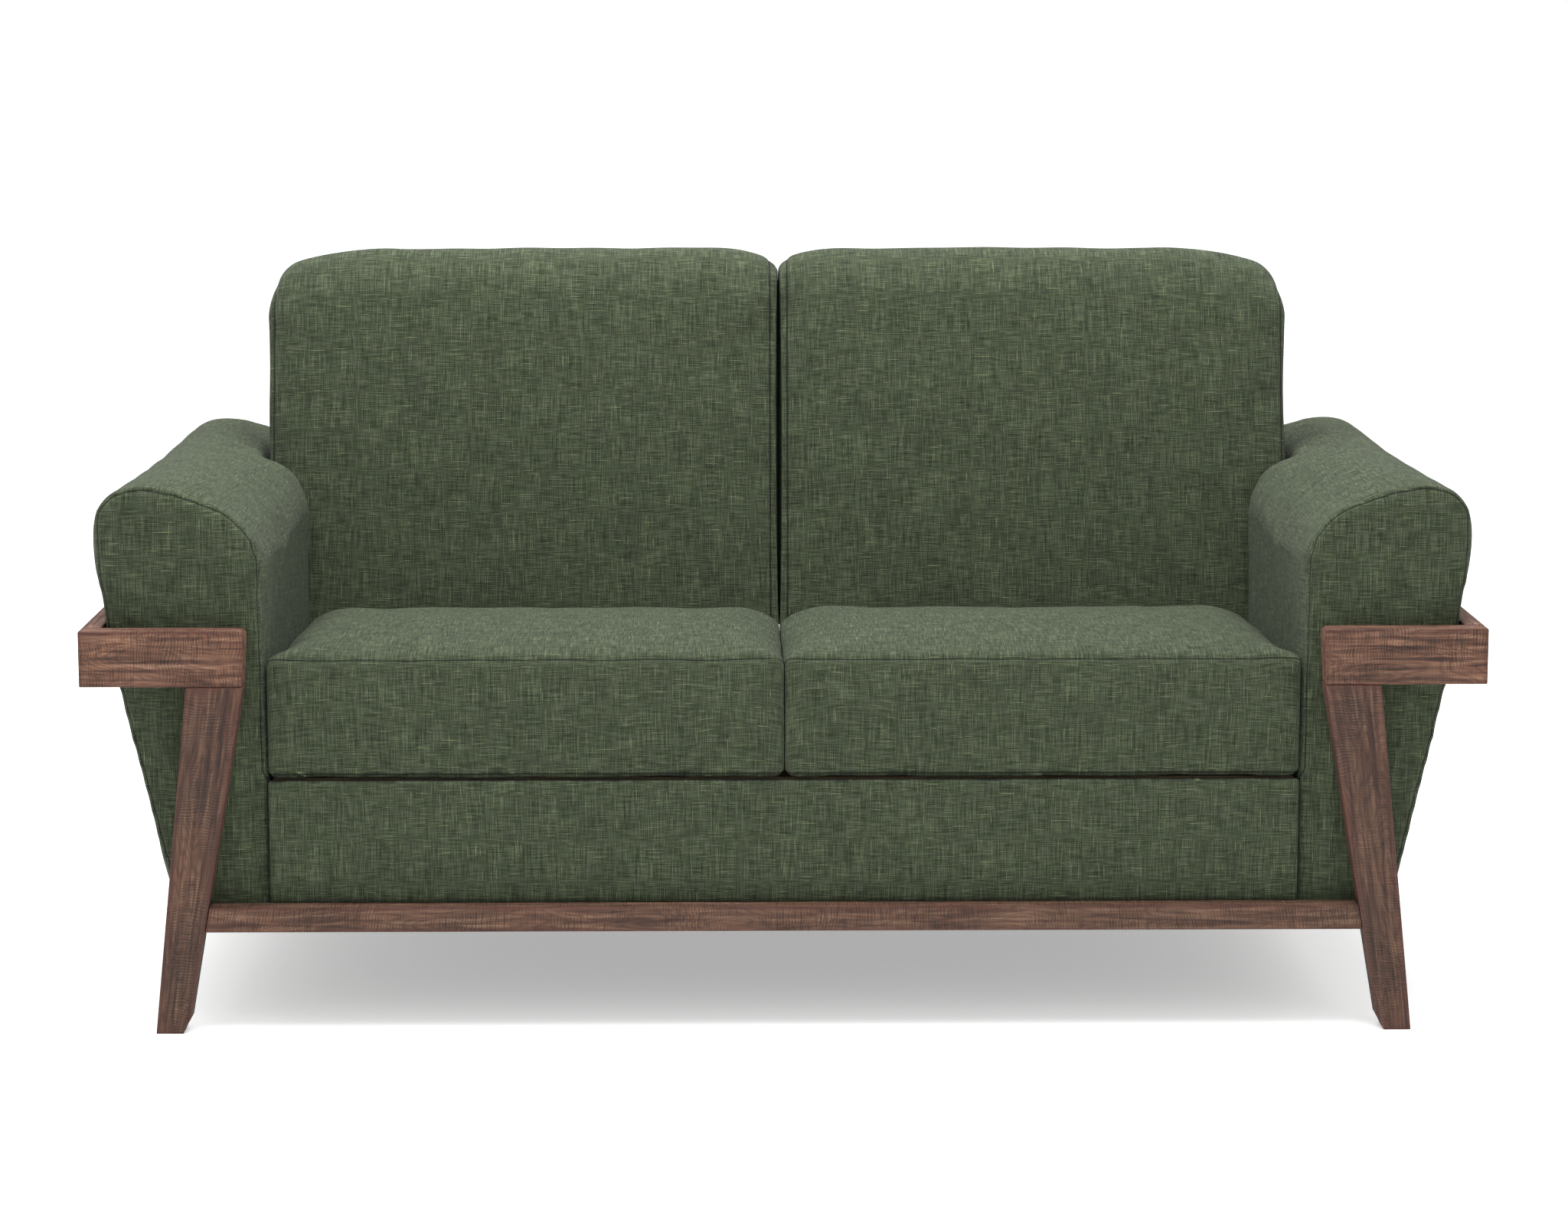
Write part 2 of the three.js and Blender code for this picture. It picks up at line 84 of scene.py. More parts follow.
def addStudio():
    world = bpy.data.worlds.new("sky")
    bpy.context.scene.world = world
    world.use_nodes = True
    sky = world.node_tree.nodes["Background"]
    sky.inputs["Color"].default_value = (studio["skyTone"],) * 3 + (1,)
    sky.inputs["Strength"].default_value = studio["skyStrength"]
    for name, values in studio["lamps"].items():
        addLamp(name, *values)
    reach = studio["floorReach"]
    corners = [(-reach, -reach, 0), (reach, -reach, 0), (reach, reach, 0), (-reach, reach, 0)]
    mesh = bpy.data.meshes.new("floor")
    mesh.from_pydata(corners, [], [(0, 1, 2, 3)])
    floor = bpy.data.objects.new("floor", mesh)
    bpy.context.scene.collection.objects.link(floor)
    mat, links, shader = newMaterial("paleFloor", 0.9)
    shader.inputs["Base Color"].default_value = (studio["floorTone"],) * 3 + (1,)
    shader.inputs["Emission Color"].default_value = (1, 1, 1, 1)
    shader.inputs["Emission Strength"].default_value = studio["floorGlow"]
    mesh.materials.append(mat)
    bpy.context.scene.view_settings.view_transform = "Standard"


# small helpers for materials
def newMaterial(name, roughness):
    mat = bpy.data.materials.new(name)
    mat.use_nodes = True
    shader = mat.node_tree.nodes["Principled BSDF"]
    shader.inputs["Roughness"].default_value = roughness
    return mat, mat.node_tree.links, shader


def addNode(mat, kind, **values):
    node = mat.node_tree.nodes.new(kind)
    for key, value in values.items():
        if key in node.inputs:
            node.inputs[key].default_value = value
        else:
            setattr(node, key, value)
    return node


def stretched(mat, source, scale, offset=(0, 0, 0)):
    place = addNode(mat, "ShaderNodeMapping")
    place.inputs["Scale"].default_value = scale
    place.inputs["Location"].default_value = offset
    mat.node_tree.links.new(source, place.inputs["Vector"])
    return place.outputs["Vector"]


def noise(mat, vector, detail=2.0, rough=0.5, distort=0.0):
    made = addNode(mat, "ShaderNodeTexNoise", Scale=1.0, Detail=detail, Roughness=rough, Distortion=distort)
    mat.node_tree.links.new(vector, made.inputs["Vector"])
    return made.outputs["Fac"]


def ramp(mat, value, stops):
    made = addNode(mat, "ShaderNodeValToRGB")
    points = made.color_ramp.elements
    while len(points) < len(stops):
        points.new(0.5)
    for point, (place, tone) in zip(points, stops):
        point.position = place
        point.color = (*tone, 1) if isinstance(tone, tuple) else (tone, tone, tone, 1)
    mat.node_tree.links.new(value, made.inputs["Fac"])
    return made.outputs["Color"]


def mixTone(mat, share, first, second, blend="MIX"):
    made = addNode(mat, "ShaderNodeMix", data_type="RGBA", blend_type=blend)
    for socket, value in ((made.inputs[0], share), (made.inputs[6], first), (made.inputs[7], second)):
        if isinstance(value, bpy.types.NodeSocket):
            mat.node_tree.links.new(value, socket)
        elif isinstance(value, tuple):
            socket.default_value = (*value, 1)
        else:
            socket.default_value = value
    return made.outputs[2]


def sums(mat, operation, first, second):
    made = addNode(mat, "ShaderNodeMath", operation=operation)
    for socket, value in zip(made.inputs, (first, second)):
        if isinstance(value, bpy.types.NodeSocket):
            mat.node_tree.links.new(value, socket)
        else:
            socket.default_value = value
    return made.outputs[0]


# multiplies a tone by 1 - spread where the pattern is low and 1 + spread where it is high
def mottled(mat, tone, pattern, spread):
    return mixTone(mat, 1.0, tone, ramp(mat, pattern, [(0.3, 1 - spread), (0.7, 1 + spread)]), "MULTIPLY")


def bump(mat, shader, height, depth, strength=1.0):
    made = addNode(mat, "ShaderNodeBump", Strength=strength, Distance=depth)
    mat.node_tree.links.new(height, made.inputs["Height"])
    mat.node_tree.links.new(made.outputs["Normal"], shader.inputs["Normal"])


# woven linen: threads both ways, thin pale slubs, soft mottling, bolder grain as painted light on tops and
# the arms' inner sides, and painted shade in seams
linen = dict(
    deep=(0.007, 0.011, 0.004), middle=(0.026, 0.035, 0.017), pale=(0.081, 0.098, 0.056),
    grey=(0.055, 0.063, 0.046), slub=(0.150, 0.175, 0.092),
    threadPitch=0.0012, threadDepth=0.0008, sheen=0.05, sheenTint=(0.86, 0.90, 0.88, 1), seamShadeWidth=0.0011,
    layers={  # changes in a metre across and up the cloth, the pattern's offset, its detail and roughness
        "weft": ((48, 1150, 1), (0, 0, 0), 1, 0.5),
        "warp": ((1150, 40, 1), (3, 7, 0), 1, 0.5),
        "coarse": ((28, 900, 1), (9, 4, 0), 1, 0.6),
        "upright": ((900, 18, 1), (4, 8, 0), 1, 0.6),
        "fuzz": ((900, 900, 1), (6, 6, 0), 2, 0.7),
        "mottle": ((22, 22, 1), (1, 2, 0), 3, 0.6),
        "stripes": ((260, 9, 1), (3, 3, 0), 2, 0.5),
        "patchy": ((75, 75, 1), (8, 2, 0), 2, 0.6),
        "paintedGrainAcross": ((250, 40, 1), (5, 5, 0), 3, 0.75),
        "paintedGrainAlong": ((30, 250, 1), (2, 8, 0), 3, 0.75),
        "greyer": ((70, 140, 1), (7, 3, 0), 2, 0.6),
        "slubAcross": ((34, 980, 1), (5, 1, 0), 1, 0.4),
        "slubUp": ((980, 34, 1), (2, 9, 0), 1, 0.4),
    },
    slubStart={"slubAcross": 0.70, "slubUp": 0.71},
)


def linenMaterial():
    mat, links, shader = newMaterial("sageLinen", 0.95)
    cloth = addNode(mat, "ShaderNodeUVMap", uv_map="cloth").outputs["UV"]

    def layer(name):
        scale, offset, detail, rough = linen["layers"][name]
        return noise(mat, stretched(mat, cloth, scale, offset), detail, rough)

    # the threads, as the mean of fine and coarse ones both ways and the fuzz on them
    fine = sums(mat, "ADD", layer("weft"), layer("warp"))
    threads = sums(mat, "ADD", fine, sums(mat, "ADD", layer("coarse"), layer("upright")))
    blend = sums(mat, "MULTIPLY", sums(mat, "ADD", threads, layer("fuzz")), 0.2)
    tone = ramp(mat, blend, [(0.405, linen["deep"]), (0.5, linen["middle"]), (0.595, linen["pale"])])
    tone = mottled(mat, tone, layer("mottle"), 0.12)
    tone = mottled(mat, tone, layer("stripes"), 0.10)
    tone = mottled(mat, tone, layer("patchy"), 0.06)

    # painted light on the weave: bolder grain on tops and on the arms' inner sides, where the light falls
    paintedShadingShare = addNode(mat, "ShaderNodeAttribute", attribute_name="paintedShadingShare").outputs["Fac"]
    paintedGrainLight = sums(mat, "MULTIPLY", sums(mat, "ADD", layer("paintedGrainAcross"), layer("paintedGrainAlong")), 0.5)
    paintedGrainTone = mixTone(mat, 1.0, tone, ramp(mat, paintedGrainLight, [(0.38, 0.52), (0.62, 1.52)]), "MULTIPLY")
    tone = mixTone(mat, paintedShadingShare, tone, paintedGrainTone)
    tone = mixTone(mat, ramp(mat, layer("greyer"), [(0.42, 0.0), (0.66, 0.26)]), tone, linen["grey"])
    for name, start in linen["slubStart"].items():
        share = ramp(mat, layer(name), [(start, 0.0), (start + 0.03, 0.7)])
        tone = mixTone(mat, share, tone, linen["slub"])

    # painted shade in the seams: a dark line where the distance from a seam is under the line's half width
    away = addNode(mat, "ShaderNodeAttribute", attribute_name="seamAway").outputs["Fac"]
    line = sums(mat, "DIVIDE", sums(mat, "ABSOLUTE", away, 0.0), linen["seamShadeWidth"] * 2)
    tone = mixTone(mat, 1.0, tone, ramp(mat, line, [(0.25, 0.22), (0.8, 1.0)]), "MULTIPLY")
    links.new(tone, shader.inputs["Base Color"])
    shader.inputs["Sheen Weight"].default_value = linen["sheen"]
    shader.inputs["Sheen Roughness"].default_value = 0.5
    shader.inputs["Sheen Tint"].default_value = linen["sheenTint"]
    shader.inputs["Specular IOR Level"].default_value = 0.15

    # the weave's relief: a sine across times a sine up, on top of the threads
    split = addNode(mat, "ShaderNodeSeparateXYZ")
    links.new(cloth, split.inputs[0])
    turns = 2 * math.pi / linen["threadPitch"]
    over = sums(mat, "SINE", sums(mat, "MULTIPLY", split.outputs[0], turns), 0.0)
    under = sums(mat, "SINE", sums(mat, "MULTIPLY", split.outputs[1], turns), 0.0)
    weave = sums(mat, "MULTIPLY", sums(mat, "MULTIPLY", over, under), 0.3)
    bump(mat, shader, sums(mat, "ADD", weave, threads), linen["threadDepth"], 0.9)
    return mat


# rough-sawn wood: grain along the piece, saw marks across it, cathedral figure, painted shade along the edges
sawnWood = dict(
    dark=(0.026, 0.011, 0.008), middle=(0.112, 0.054, 0.036), pale=(0.215, 0.128, 0.092),
    # edge: the colour of the painted shade along the pieces' edges
    edge=(0.050, 0.015, 0.010), sawPitch=0.0034, sawWobble=0.014, rings=150.0, sawDepth=0.0016,
    layers={  # changes in a metre along, across and through the piece, offset, detail, roughness, twist
        "streaks": ((11, 190, 190), (0, 0, 0), 5, 0.65, 0.5),
        "swirl": ((6, 26, 26), (4, 2, 1), 2, 0.45, 0.0),
        "broad": ((8, 18, 18), (7, 5, 1), 3, 0.55, 0.0),
        "wobble": ((24, 34, 34), (0, 0, 0), 2, 0.5, 0.0),
        "fine": ((560, 34, 34), (2, 5, 0), 2, 0.6, 0.0),
        "patch": ((15, 30, 30), (8, 1, 3), 2, 0.5, 0.0),
    },
)


def sawnWoodMaterial():
    mat, links, shader = newMaterial("sawnWood", 0.72)
    grain = addNode(mat, "ShaderNodeAttribute", attribute_name="grain").outputs["Vector"]

    def layer(name):
        scale, offset, detail, rough, twist = sawnWood["layers"][name]
        return noise(mat, stretched(mat, grain, scale, offset), detail, rough, twist)

    streaks = layer("streaks")
    stops = [(0.32, sawnWood["dark"]), (0.5, sawnWood["middle"]), (0.68, sawnWood["pale"])]
    tone = ramp(mat, streaks, stops)

    # growth rings: a sine of a slow swirl
    rings = sums(mat, "SINE", sums(mat, "MULTIPLY", layer("swirl"), sawnWood["rings"]), 0.0)
    ringShare = sums(mat, "ADD", sums(mat, "MULTIPLY", rings, 0.5), 0.5)
    ringTone = ramp(mat, ringShare, [(0.0, 0.72), (0.35, 1.0), (1.0, 1.10)])
    tone = mixTone(mat, 1.0, tone, ringTone, "MULTIPLY")
    broad = layer("broad")
    tone = mixTone(mat, 1.0, tone, ramp(mat, broad, [(0.3, 0.72), (0.7, 1.24)]), "MULTIPLY")

    # saw marks: a wavering sine along the piece and finer scratches, strong only in patches
    split = addNode(mat, "ShaderNodeSeparateXYZ")
    links.new(grain, split.inputs[0])
    turns = 2 * math.pi / sawnWood["sawPitch"]
    along = sums(mat, "ADD", split.outputs[0], sums(mat, "MULTIPLY", layer("wobble"), sawnWood["sawWobble"]))
    saw = sums(mat, "SINE", sums(mat, "MULTIPLY", along, turns), 0.0)
    patch = ramp(mat, layer("patch"), [(0.40, 0.15), (0.58, 1.0)])
    cut = sums(mat, "ADD", sums(mat, "MULTIPLY", saw, 0.34), sums(mat, "MULTIPLY", layer("fine"), 2.2))
    marks = sums(mat, "MULTIPLY", sums(mat, "SUBTRACT", cut, 1.1), patch)
    marked = ramp(mat, sums(mat, "ADD", marks, 0.5), [(0.0, 0.55), (0.5, 1.0), (1.0, 1.5)])
    tone = mixTone(mat, 1.0, tone, marked, "MULTIPLY")

    # a fixed tone factor for each kind of piece, then ragged painted shade along the edges
    shade = addNode(mat, "ShaderNodeAttribute", attribute_name="shade").outputs["Color"]
    tone = mixTone(mat, 1.0, tone, shade, "MULTIPLY")
    paintedShadingShare = addNode(mat, "ShaderNodeAttribute", attribute_name="edge").outputs["Fac"]
    raggedEdgeShade = sums(mat, "MULTIPLY", paintedShadingShare, ramp(mat, broad, [(0.35, 0.45), (0.6, 1.0)]))
    tone = mixTone(mat, raggedEdgeShade, tone, sawnWood["edge"])
    links.new(tone, shader.inputs["Base Color"])
    shader.inputs["Specular IOR Level"].default_value = 0.3
    height = sums(mat, "ADD", sums(mat, "MULTIPLY", marks, 0.8), sums(mat, "MULTIPLY", streaks, 0.8))
    bump(mat, shader, height, sawnWood["sawDepth"], 0.9)
    return mat


def plainTimberMaterial():
    mat, links, shader = newMaterial("planedTimber", 0.6)
    place = addNode(mat, "ShaderNodeTexCoord").outputs["Object"]
    rings = noise(mat, stretched(mat, place, (5, 60, 60)), 4, 0.6, 0.4)
    tone = ramp(mat, rings, [(0.3, (0.30, 0.19, 0.10)), (0.5, (0.45, 0.31, 0.18)), (0.7, (0.58, 0.43, 0.27))])
    links.new(tone, shader.inputs["Base Color"])
    bump(mat, shader, rings, 0.0006, 0.5)
    return mat


def hingeSteelMaterial():
    mat, links, shader = newMaterial("hingeSteel", 0.4)
    place = addNode(mat, "ShaderNodeTexCoord").outputs["Object"]
    speck = noise(mat, stretched(mat, place, (240, 240, 240)), 3, 0.6)
    tone = ramp(mat, speck, [(0.3, (0.022, 0.023, 0.025)), (0.7, (0.052, 0.054, 0.058))])
    links.new(tone, shader.inputs["Base Color"])
    links.new(ramp(mat, speck, [(0.3, 0.34), (0.7, 0.52)]), shader.inputs["Roughness"])
    shader.inputs["Metallic"].default_value = 0.85
    bump(mat, shader, speck, 0.0002, 0.4)
    return mat


def backingMaterial():
    mat, links, shader = newMaterial("blackBacking", 0.95)
    place = addNode(mat, "ShaderNodeTexCoord").outputs["Object"]
    fibre = noise(mat, stretched(mat, place, (500, 500, 500)), 4, 0.7, 1.5)
    tone = ramp(mat, fibre, [(0.3, (0.006, 0.006, 0.006)), (0.7, (0.030, 0.031, 0.029))])
    links.new(tone, shader.inputs["Base Color"])
    bump(mat, shader, fibre, 0.0004, 0.6)
    return mat


# shapes
# Points and quads on the six sides of a box whose cuts along each axis are the three arrays in rows.
def boxSkin(rows):
    counts = [len(r) - 1 for r in rows]
    lattice, quads, start = [], [], 0
    for axis in range(3):
        u, v = (axis + 1) % 3, (axis + 2) % 3
        gridU, gridV = np.meshgrid(np.arange(counts[u] + 1), np.arange(counts[v] + 1), indexing="ij")
        cell = (np.arange(counts[u])[:, None] * (counts[v] + 1) + np.arange(counts[v])).ravel()
        loop = np.stack([cell, cell + counts[v] + 1, cell + counts[v] + 2, cell + 1], axis=1)
        for level in (0, counts[axis]):
            spots = np.zeros((gridU.size, 3), int)
            spots[:, u], spots[:, v], spots[:, axis] = gridU.ravel(), gridV.ravel(), level
            lattice.append(spots)
            quads.append(start + (loop if level else loop[:, ::-1]))
            start += gridU.size
    spots, joined = np.unique(np.concatenate(lattice), axis=0, return_inverse=True)
    points = np.stack([rows[axis][spots[:, axis]] for axis in range(3)], axis=1).astype(float)
    return points, joined.ravel()[np.concatenate(quads)]


# Moves each point to the given radius from the nearest point of the box shrunk by that radius.
def roundEdges(points, low, high, radius):
    core = np.clip(points, low + radius, high - radius)
    arm = points - core
    length = np.linalg.norm(arm, axis=1, keepdims=True)
    return core + arm / np.maximum(length, 1e-9) * radius


def evenRows(low, high, step):
    return np.linspace(low, high, max(2, int(round((high - low) / step)) + 1))


def boxOf(node):
    low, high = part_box(node)
    return np.array(low), np.array(high)


# Writes one value, or one row of values, for each point of a piece as a named attribute.
def keepValues(obj, name, kind, field, values):
    layer = obj.data.attributes.new(name, kind, "POINT")
    layer.data.foreach_set(field, values.astype(np.float32).ravel())


def makePiece(name, points, quads, material, body):
    mesh = bpy.data.meshes.new(name)
    mesh.from_pydata(points.tolist(), [], quads.tolist())
    mesh.shade_smooth()
    mesh.materials.append(material)
    obj = bpy.data.objects.new(name, mesh)
    bpy.context.scene.collection.objects.link(obj)
    return obj


def pointsOf(obj):
    flat = np.zeros(len(obj.data.vertices) * 3)
    obj.data.vertices.foreach_get("co", flat)
    return flat.reshape(-1, 3)


def setPoints(obj, points):
    obj.data.vertices.foreach_set("co", points.astype(np.float32).ravel())
    obj.data.update()


def normalsOf(obj):
    flat = np.zeros(len(obj.data.vertices) * 3)
    obj.data.vertex_normals.foreach_get("vector", flat)
    return flat.reshape(-1, 3)


def applyModifiers(obj):
    bpy.context.view_layer.update()
    shown = obj.evaluated_get(bpy.context.evaluated_depsgraph_get())
    mesh = bpy.data.meshes.new_from_object(shown)
    obj.modifiers.clear()
    obj.data = mesh


def subdivide(obj):
    finer = obj.modifiers.new("finer", "SUBSURF")
    finer.levels = finer.render_levels = 1
    applyModifiers(obj)


# Gentle unevenness around 0: twice the mean of twelve sine waves of about one size in random directions.
def waves(points, size, seed):
    rng = np.random.default_rng(seed)
    turns = rng.normal(0, 2 * math.pi / size / 1.7, (12, 3))
    start = rng.uniform(0, 2 * math.pi, 12)
    return np.sin(points @ turns.T + start).mean(axis=1) * 2


# Moves each point along its normal by those waves, up to about the given depth.
def makeUneven(obj, points, size, depth, seed):
    return points + normalsOf(obj) * (depth * waves(points, size, seed))[:, None]


# how the covers behave as cloth while air pressure swells them
air = dict(steps=20, quality=4, mass=0.25, stretch=18, shear=6, bending=0.6)


# Runs every padded piece as cloth under air pressure at once, then shortens each point's way d to
# limit * tanh(d / limit), so that none goes further than its limit. A job is a piece, a pressure and a limit.
def swell(jobs):
    rest = {}
    for obj, pressure, limit in jobs:
        rest[obj.name] = pointsOf(obj)
        cloth = obj.modifiers.new("cloth", "CLOTH")
        settings = cloth.settings
        settings.quality = air["quality"]
        settings.mass = air["mass"]
        settings.tension_stiffness = settings.compression_stiffness = air["stretch"]
        settings.shear_stiffness = air["shear"]
        settings.bending_stiffness = air["bending"]
        settings.use_pressure = True
        settings.uniform_pressure_force = pressure
        settings.effector_weights.gravity = 0
        cloth.point_cache.frame_end = air["steps"]
    for step in range(1, air["steps"] + 1):
        bpy.context.scene.frame_set(step)
    for obj, pressure, limit in jobs:
        moved = pointsOf(obj.evaluated_get(bpy.context.evaluated_depsgraph_get()))
        obj.modifiers.clear()
        shift = moved - rest[obj.name]
        length = np.maximum(np.linalg.norm(shift, axis=1, keepdims=True), 1e-9)
        kept = limit * np.tanh(length / limit)
        setPoints(obj, rest[obj.name] + shift / length * kept)
        print("swelled", obj.name, "by up to", round(float(kept.max()) * 1000, 1), "mm")
    bpy.context.scene.frame_set(1)


# How far along a line of 2-D points each point's nearest place lies, and its distance from there.
def alongLine(points, line):
    line = line[np.concatenate([[True], np.linalg.norm(np.diff(line, axis=0), axis=1) > 1e-6])]
    start, step = line[:-1], np.diff(line, axis=0)
    size = np.linalg.norm(step, axis=1)
    travelled = np.concatenate([[0], np.cumsum(size)[:-1]])
    found, gap = np.zeros(len(points)), np.zeros(len(points))
    for part in np.array_split(np.arange(len(points)), max(1, len(points) // 4000)):
        away = points[part, None, :] - start
        share = np.clip((away * step).sum(2) / size**2, 0, 1)
        distance = np.linalg.norm(away - share[..., None] * step, axis=2)
        best = distance.argmin(axis=1)
        row = np.arange(len(part))
        found[part] = travelled[best] + share[row, best] * size[best]
        gap[part] = distance[row, best]
    return found, gap


# Cloth coordinates in metres: faces that look along endAxis take end, and all others take wrap. Also keeps
# the share of painted light on the weave: the square of how far it looks up, and 0.6 of how far it looks to
# inward along X.
def mapCloth(obj, wrap, end, endAxis, offset, inward=0):
    mesh = obj.data
    corner = np.zeros(len(mesh.loops), int)
    mesh.loops.foreach_get("vertex_index", corner)
    total = np.zeros(len(mesh.polygons), int)
    mesh.polygons.foreach_get("loop_total", total)
    facing = np.zeros(len(mesh.polygons) * 3)
    mesh.polygons.foreach_get("normal", facing)
    isEnd = np.repeat(np.abs(facing.reshape(-1, 3) @ np.array(endAxis)) > 0.72, total)
    spots = np.where(isEnd[:, None], end[corner], wrap[corner]) + np.array(offset)
    normals = normalsOf(obj)
    # painted light on the weave: the share grows on surfaces facing up and on the arms' inner sides
    paintedShadingShare = np.clip(normals[:, 2], 0, 1) ** 2 + 0.6 * np.clip(normals[:, 0] * inward, 0, 1) ** 2
    keepValues(obj, "paintedShadingShare", "FLOAT", "value", paintedShadingShare)
    layer = mesh.uv_layers.new(name="cloth")
    layer.data.foreach_set("uv", spots.astype(np.float32).ravel())


# Keeps how far each point is from the seam, and draws the surface in by depth there, fading as a bell
# curve over width.
def seam(obj, away, depth, width):
    # the kept distance also places the painted shade of the seam line in the linen
    keepValues(obj, "seamAway", "FLOAT", "value", away)
    fall = np.exp(-((away / width) ** 2))
    setPoints(obj, pointsOf(obj) - normalsOf(obj) * (fall * depth)[:, None])


# The one of several signed distances that is closest to 0, at each point.
def nearest(*options):
    table = np.stack(options)
    return np.take_along_axis(table, np.abs(table).argmin(axis=0)[None], 0)[0]


# Moves values near a wall towards it by push, fading as a bell curve over reach, and flattens them there.
def press(values, wall, push=0.005, reach=0.022):
    side = np.sign(wall - values.mean())  # 1 where the wall lies above most of the values
    near = np.maximum(side * (wall - values), 0)
    return side * np.minimum(side * values + push * np.exp(-((near / reach) ** 2)), side * wall)


# Stretches points evenly along each axis until they fill the box from low to high.
def fitBox(points, low, high):
    near, far = points.min(axis=0), points.max(axis=0)
    return low + (points - near) / (far - near) * (high - low)


def finishPad(obj, body, fill, *replaced):
    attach(obj, body)
    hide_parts(*replaced)


# seat cushions
seat = dict(
    step=0.0075, inset=0.003, edge=0.012,  # the mesh before it swells
    top=0.438, rearFall=0.018, crown=0.012, frontBulge=0.004,
    sideFall=0.027, sideFallWidth=0.062,  # how the top rounds down towards both sides
    past=(0.0026, 0.0022, 0.0006), tuck=0.002,  # how far it fills past its place, more so beside the arm
    centreGap=0.0004, armFace=0.5916,
    hang=0.005, hangDepth=(0.034, 0.018), hangHeight=0.06,  # the front that hangs over the apron
    topSeam=0.0015, seamWander=(0.0006, 55), lowSeam=0.011, seamDepth=0.0016, seamSpread=0.0032,
    unevenSize=0.09, uneven=0.0009, fill=0.75,
)


# A box whose top falls evenly to the rear, is crowned by a sine along its depth times 1 less the fourth
# power of the distance across, and rounds down at both sides as a quarter ellipse. Its front bulges by a
# sine up the face.
def seatCushion(side, material):
    low, high = boxOf("seat_cushion_" + side)
    low, high = low + seat["inset"], high - seat["inset"]
    high[2] = seat["top"] - seat["inset"]
    points, quads = boxSkin([evenRows(low[i], high[i], seat["step"]) for i in range(3)])
    points = roundEdges(points, low, high, seat["edge"])
    middle, half = (low[0] + high[0]) / 2, (high[0] - low[0]) / 2
    across = np.abs(points[:, 0] - middle)
    rearward = (points[:, 1] - low[1]) / (high[1] - low[1])
    up = np.clip((points[:, 2] - low[2]) / (high[2] - low[2]), 0, 1)
    into = np.clip((across - (half - seat["sideFallWidth"])) / seat["sideFallWidth"], 0, 1)
    fall = (1 - np.sqrt(1 - into**2 * 0.999)) * np.clip(rearward / 0.3, 0, 1) ** 0.7
    crown = seat["crown"] * np.sin(np.pi * np.clip(rearward * 1.1, 0, 1)) * (1 - (across / half) ** 4)
    points[:, 2] += up**2 * (crown - seat["sideFall"] * fall - seat["rearFall"] * rearward)
    tall = np.sin(np.pi * up) * (1 - (across / half) ** 6)
    points[:, 1] -= seat["frontBulge"] * tall * (rearward < 0.03)
    return makePiece("seat_cushion_" + side + "_cover", points, quads, material, "base")


# Fills the swelled cushion out to its place, flattens it against its neighbours, lets its front hang a
# little over the apron, and sews one seam along the front top edge and one along the front foot.
def finishSeatCushion(obj, side, sign):
    subdivide(obj)
    low, high = boxOf("seat_cushion_" + side)
    points = pointsOf(obj)
    past, tuck = np.array(seat["past"]), seat["tuck"]
    lowGoal = low - past - [tuck * (sign < 0), 0, 0]
    highGoal = np.array([high[0] + tuck * (sign > 0), high[1], points[:, 2].max()]) + past
    points = fitBox(points, lowGoal, highGoal)
    points = makeUneven(obj, points, seat["unevenSize"], seat["uneven"], 11 + sign)
    x = press(points[:, 0] * sign, seat["centreGap"], 0.003)
    points[:, 0] = sign * press(x, seat["armFace"], 0.003)
    points[:, 1] = np.clip(points[:, 1], low[1] - 0.004, high[1])
    points[:, 2] = np.maximum(points[:, 2], low[2] - 0.0005)
    reach, fade = seat["hangDepth"]
    front = np.clip((low[1] + reach - points[:, 1]) / fade, 0, 1)
    points[:, 2] -= seat["hang"] * front * np.clip(1 - (points[:, 2] - low[2]) / seat["hangHeight"], 0, 1)
    setPoints(obj, points)
    wander, turns = seat["seamWander"]
    top = seat["top"] - seat["topSeam"] - wander * np.sin(points[:, 0] * turns)
    upper = (points[:, 1] - low[1]) + (points[:, 2] - top)
    lower = points[:, 2] - (low[2] + seat["lowSeam"] - seat["hang"])
    lower = np.where(points[:, 1] < low[1] + 0.03, lower, 0.05)
    seam(obj, nearest(upper, lower), seat["seamDepth"], seat["seamSpread"])
    points = pointsOf(obj)
    wrap = np.stack([points[:, 0], points[:, 1] + points[:, 2]], axis=1)
    end = np.stack([points[:, 1], points[:, 2]], axis=1)
    mapCloth(obj, wrap, end, (1, 0, 0), (0.37 * sign, 0.2))
    finishPad(obj, "base", seat["fill"], "seat_cushion_" + side)


# back sections, made in the frame of their own lean: up the face and out of it, from the hinge
back = dict(
    step=0.0075, inset=0.003, edge=0.020,  # the mesh before it swells
    lean=math.radians(12), pivot=(0.110, 0.378), faceOut=0.037, thick=0.150, lowEdge=0.016,
    topRound=0.075, topRoundHeight=0.16, bulge=0.006,
    outerCorner=(0.036, 0.040), shoulder=(0.150, 0.027), innerCorner=(0.085, 0.026), cornerHeight=0.24,
    lipDrop=0.034, lipStart=0.007, lipHeight=0.16, lipReach=0.0405,  # it hides the gap behind the seat
    centre=0.0003, centreGap=0.0030, outerSide=0.6505,
    innerSeam=0.0105, outerSeam=0.6405, seamDepth=0.0016, seamSpread=0.0034,
    unevenSize=0.12, uneven=0.0011, fill=0.7,
    profile=[(0.037, -0.02), (0.037, 0.42), (0.030, 0.46), (0.0, 0.488), (-0.038, 0.497),
             (-0.076, 0.488), (-0.105, 0.46), (-0.113, 0.42), (-0.113, 0.016)],  # the way the cloth wraps
)


def backToWorld(x, up, out):
    c, s = math.cos(back["lean"]), math.sin(back["lean"])
    y, z = back["pivot"]
    return np.stack([x, y + up * s - out * c, z + up * c + out * s], axis=1)


def worldToBack(points):
    c, s = math.cos(back["lean"]), math.sin(back["lean"])
    y, z = points[:, 1] - back["pivot"][0], points[:, 2] - back["pivot"][1]
    return points[:, 0], y * s + z * c, -y * c + z * s


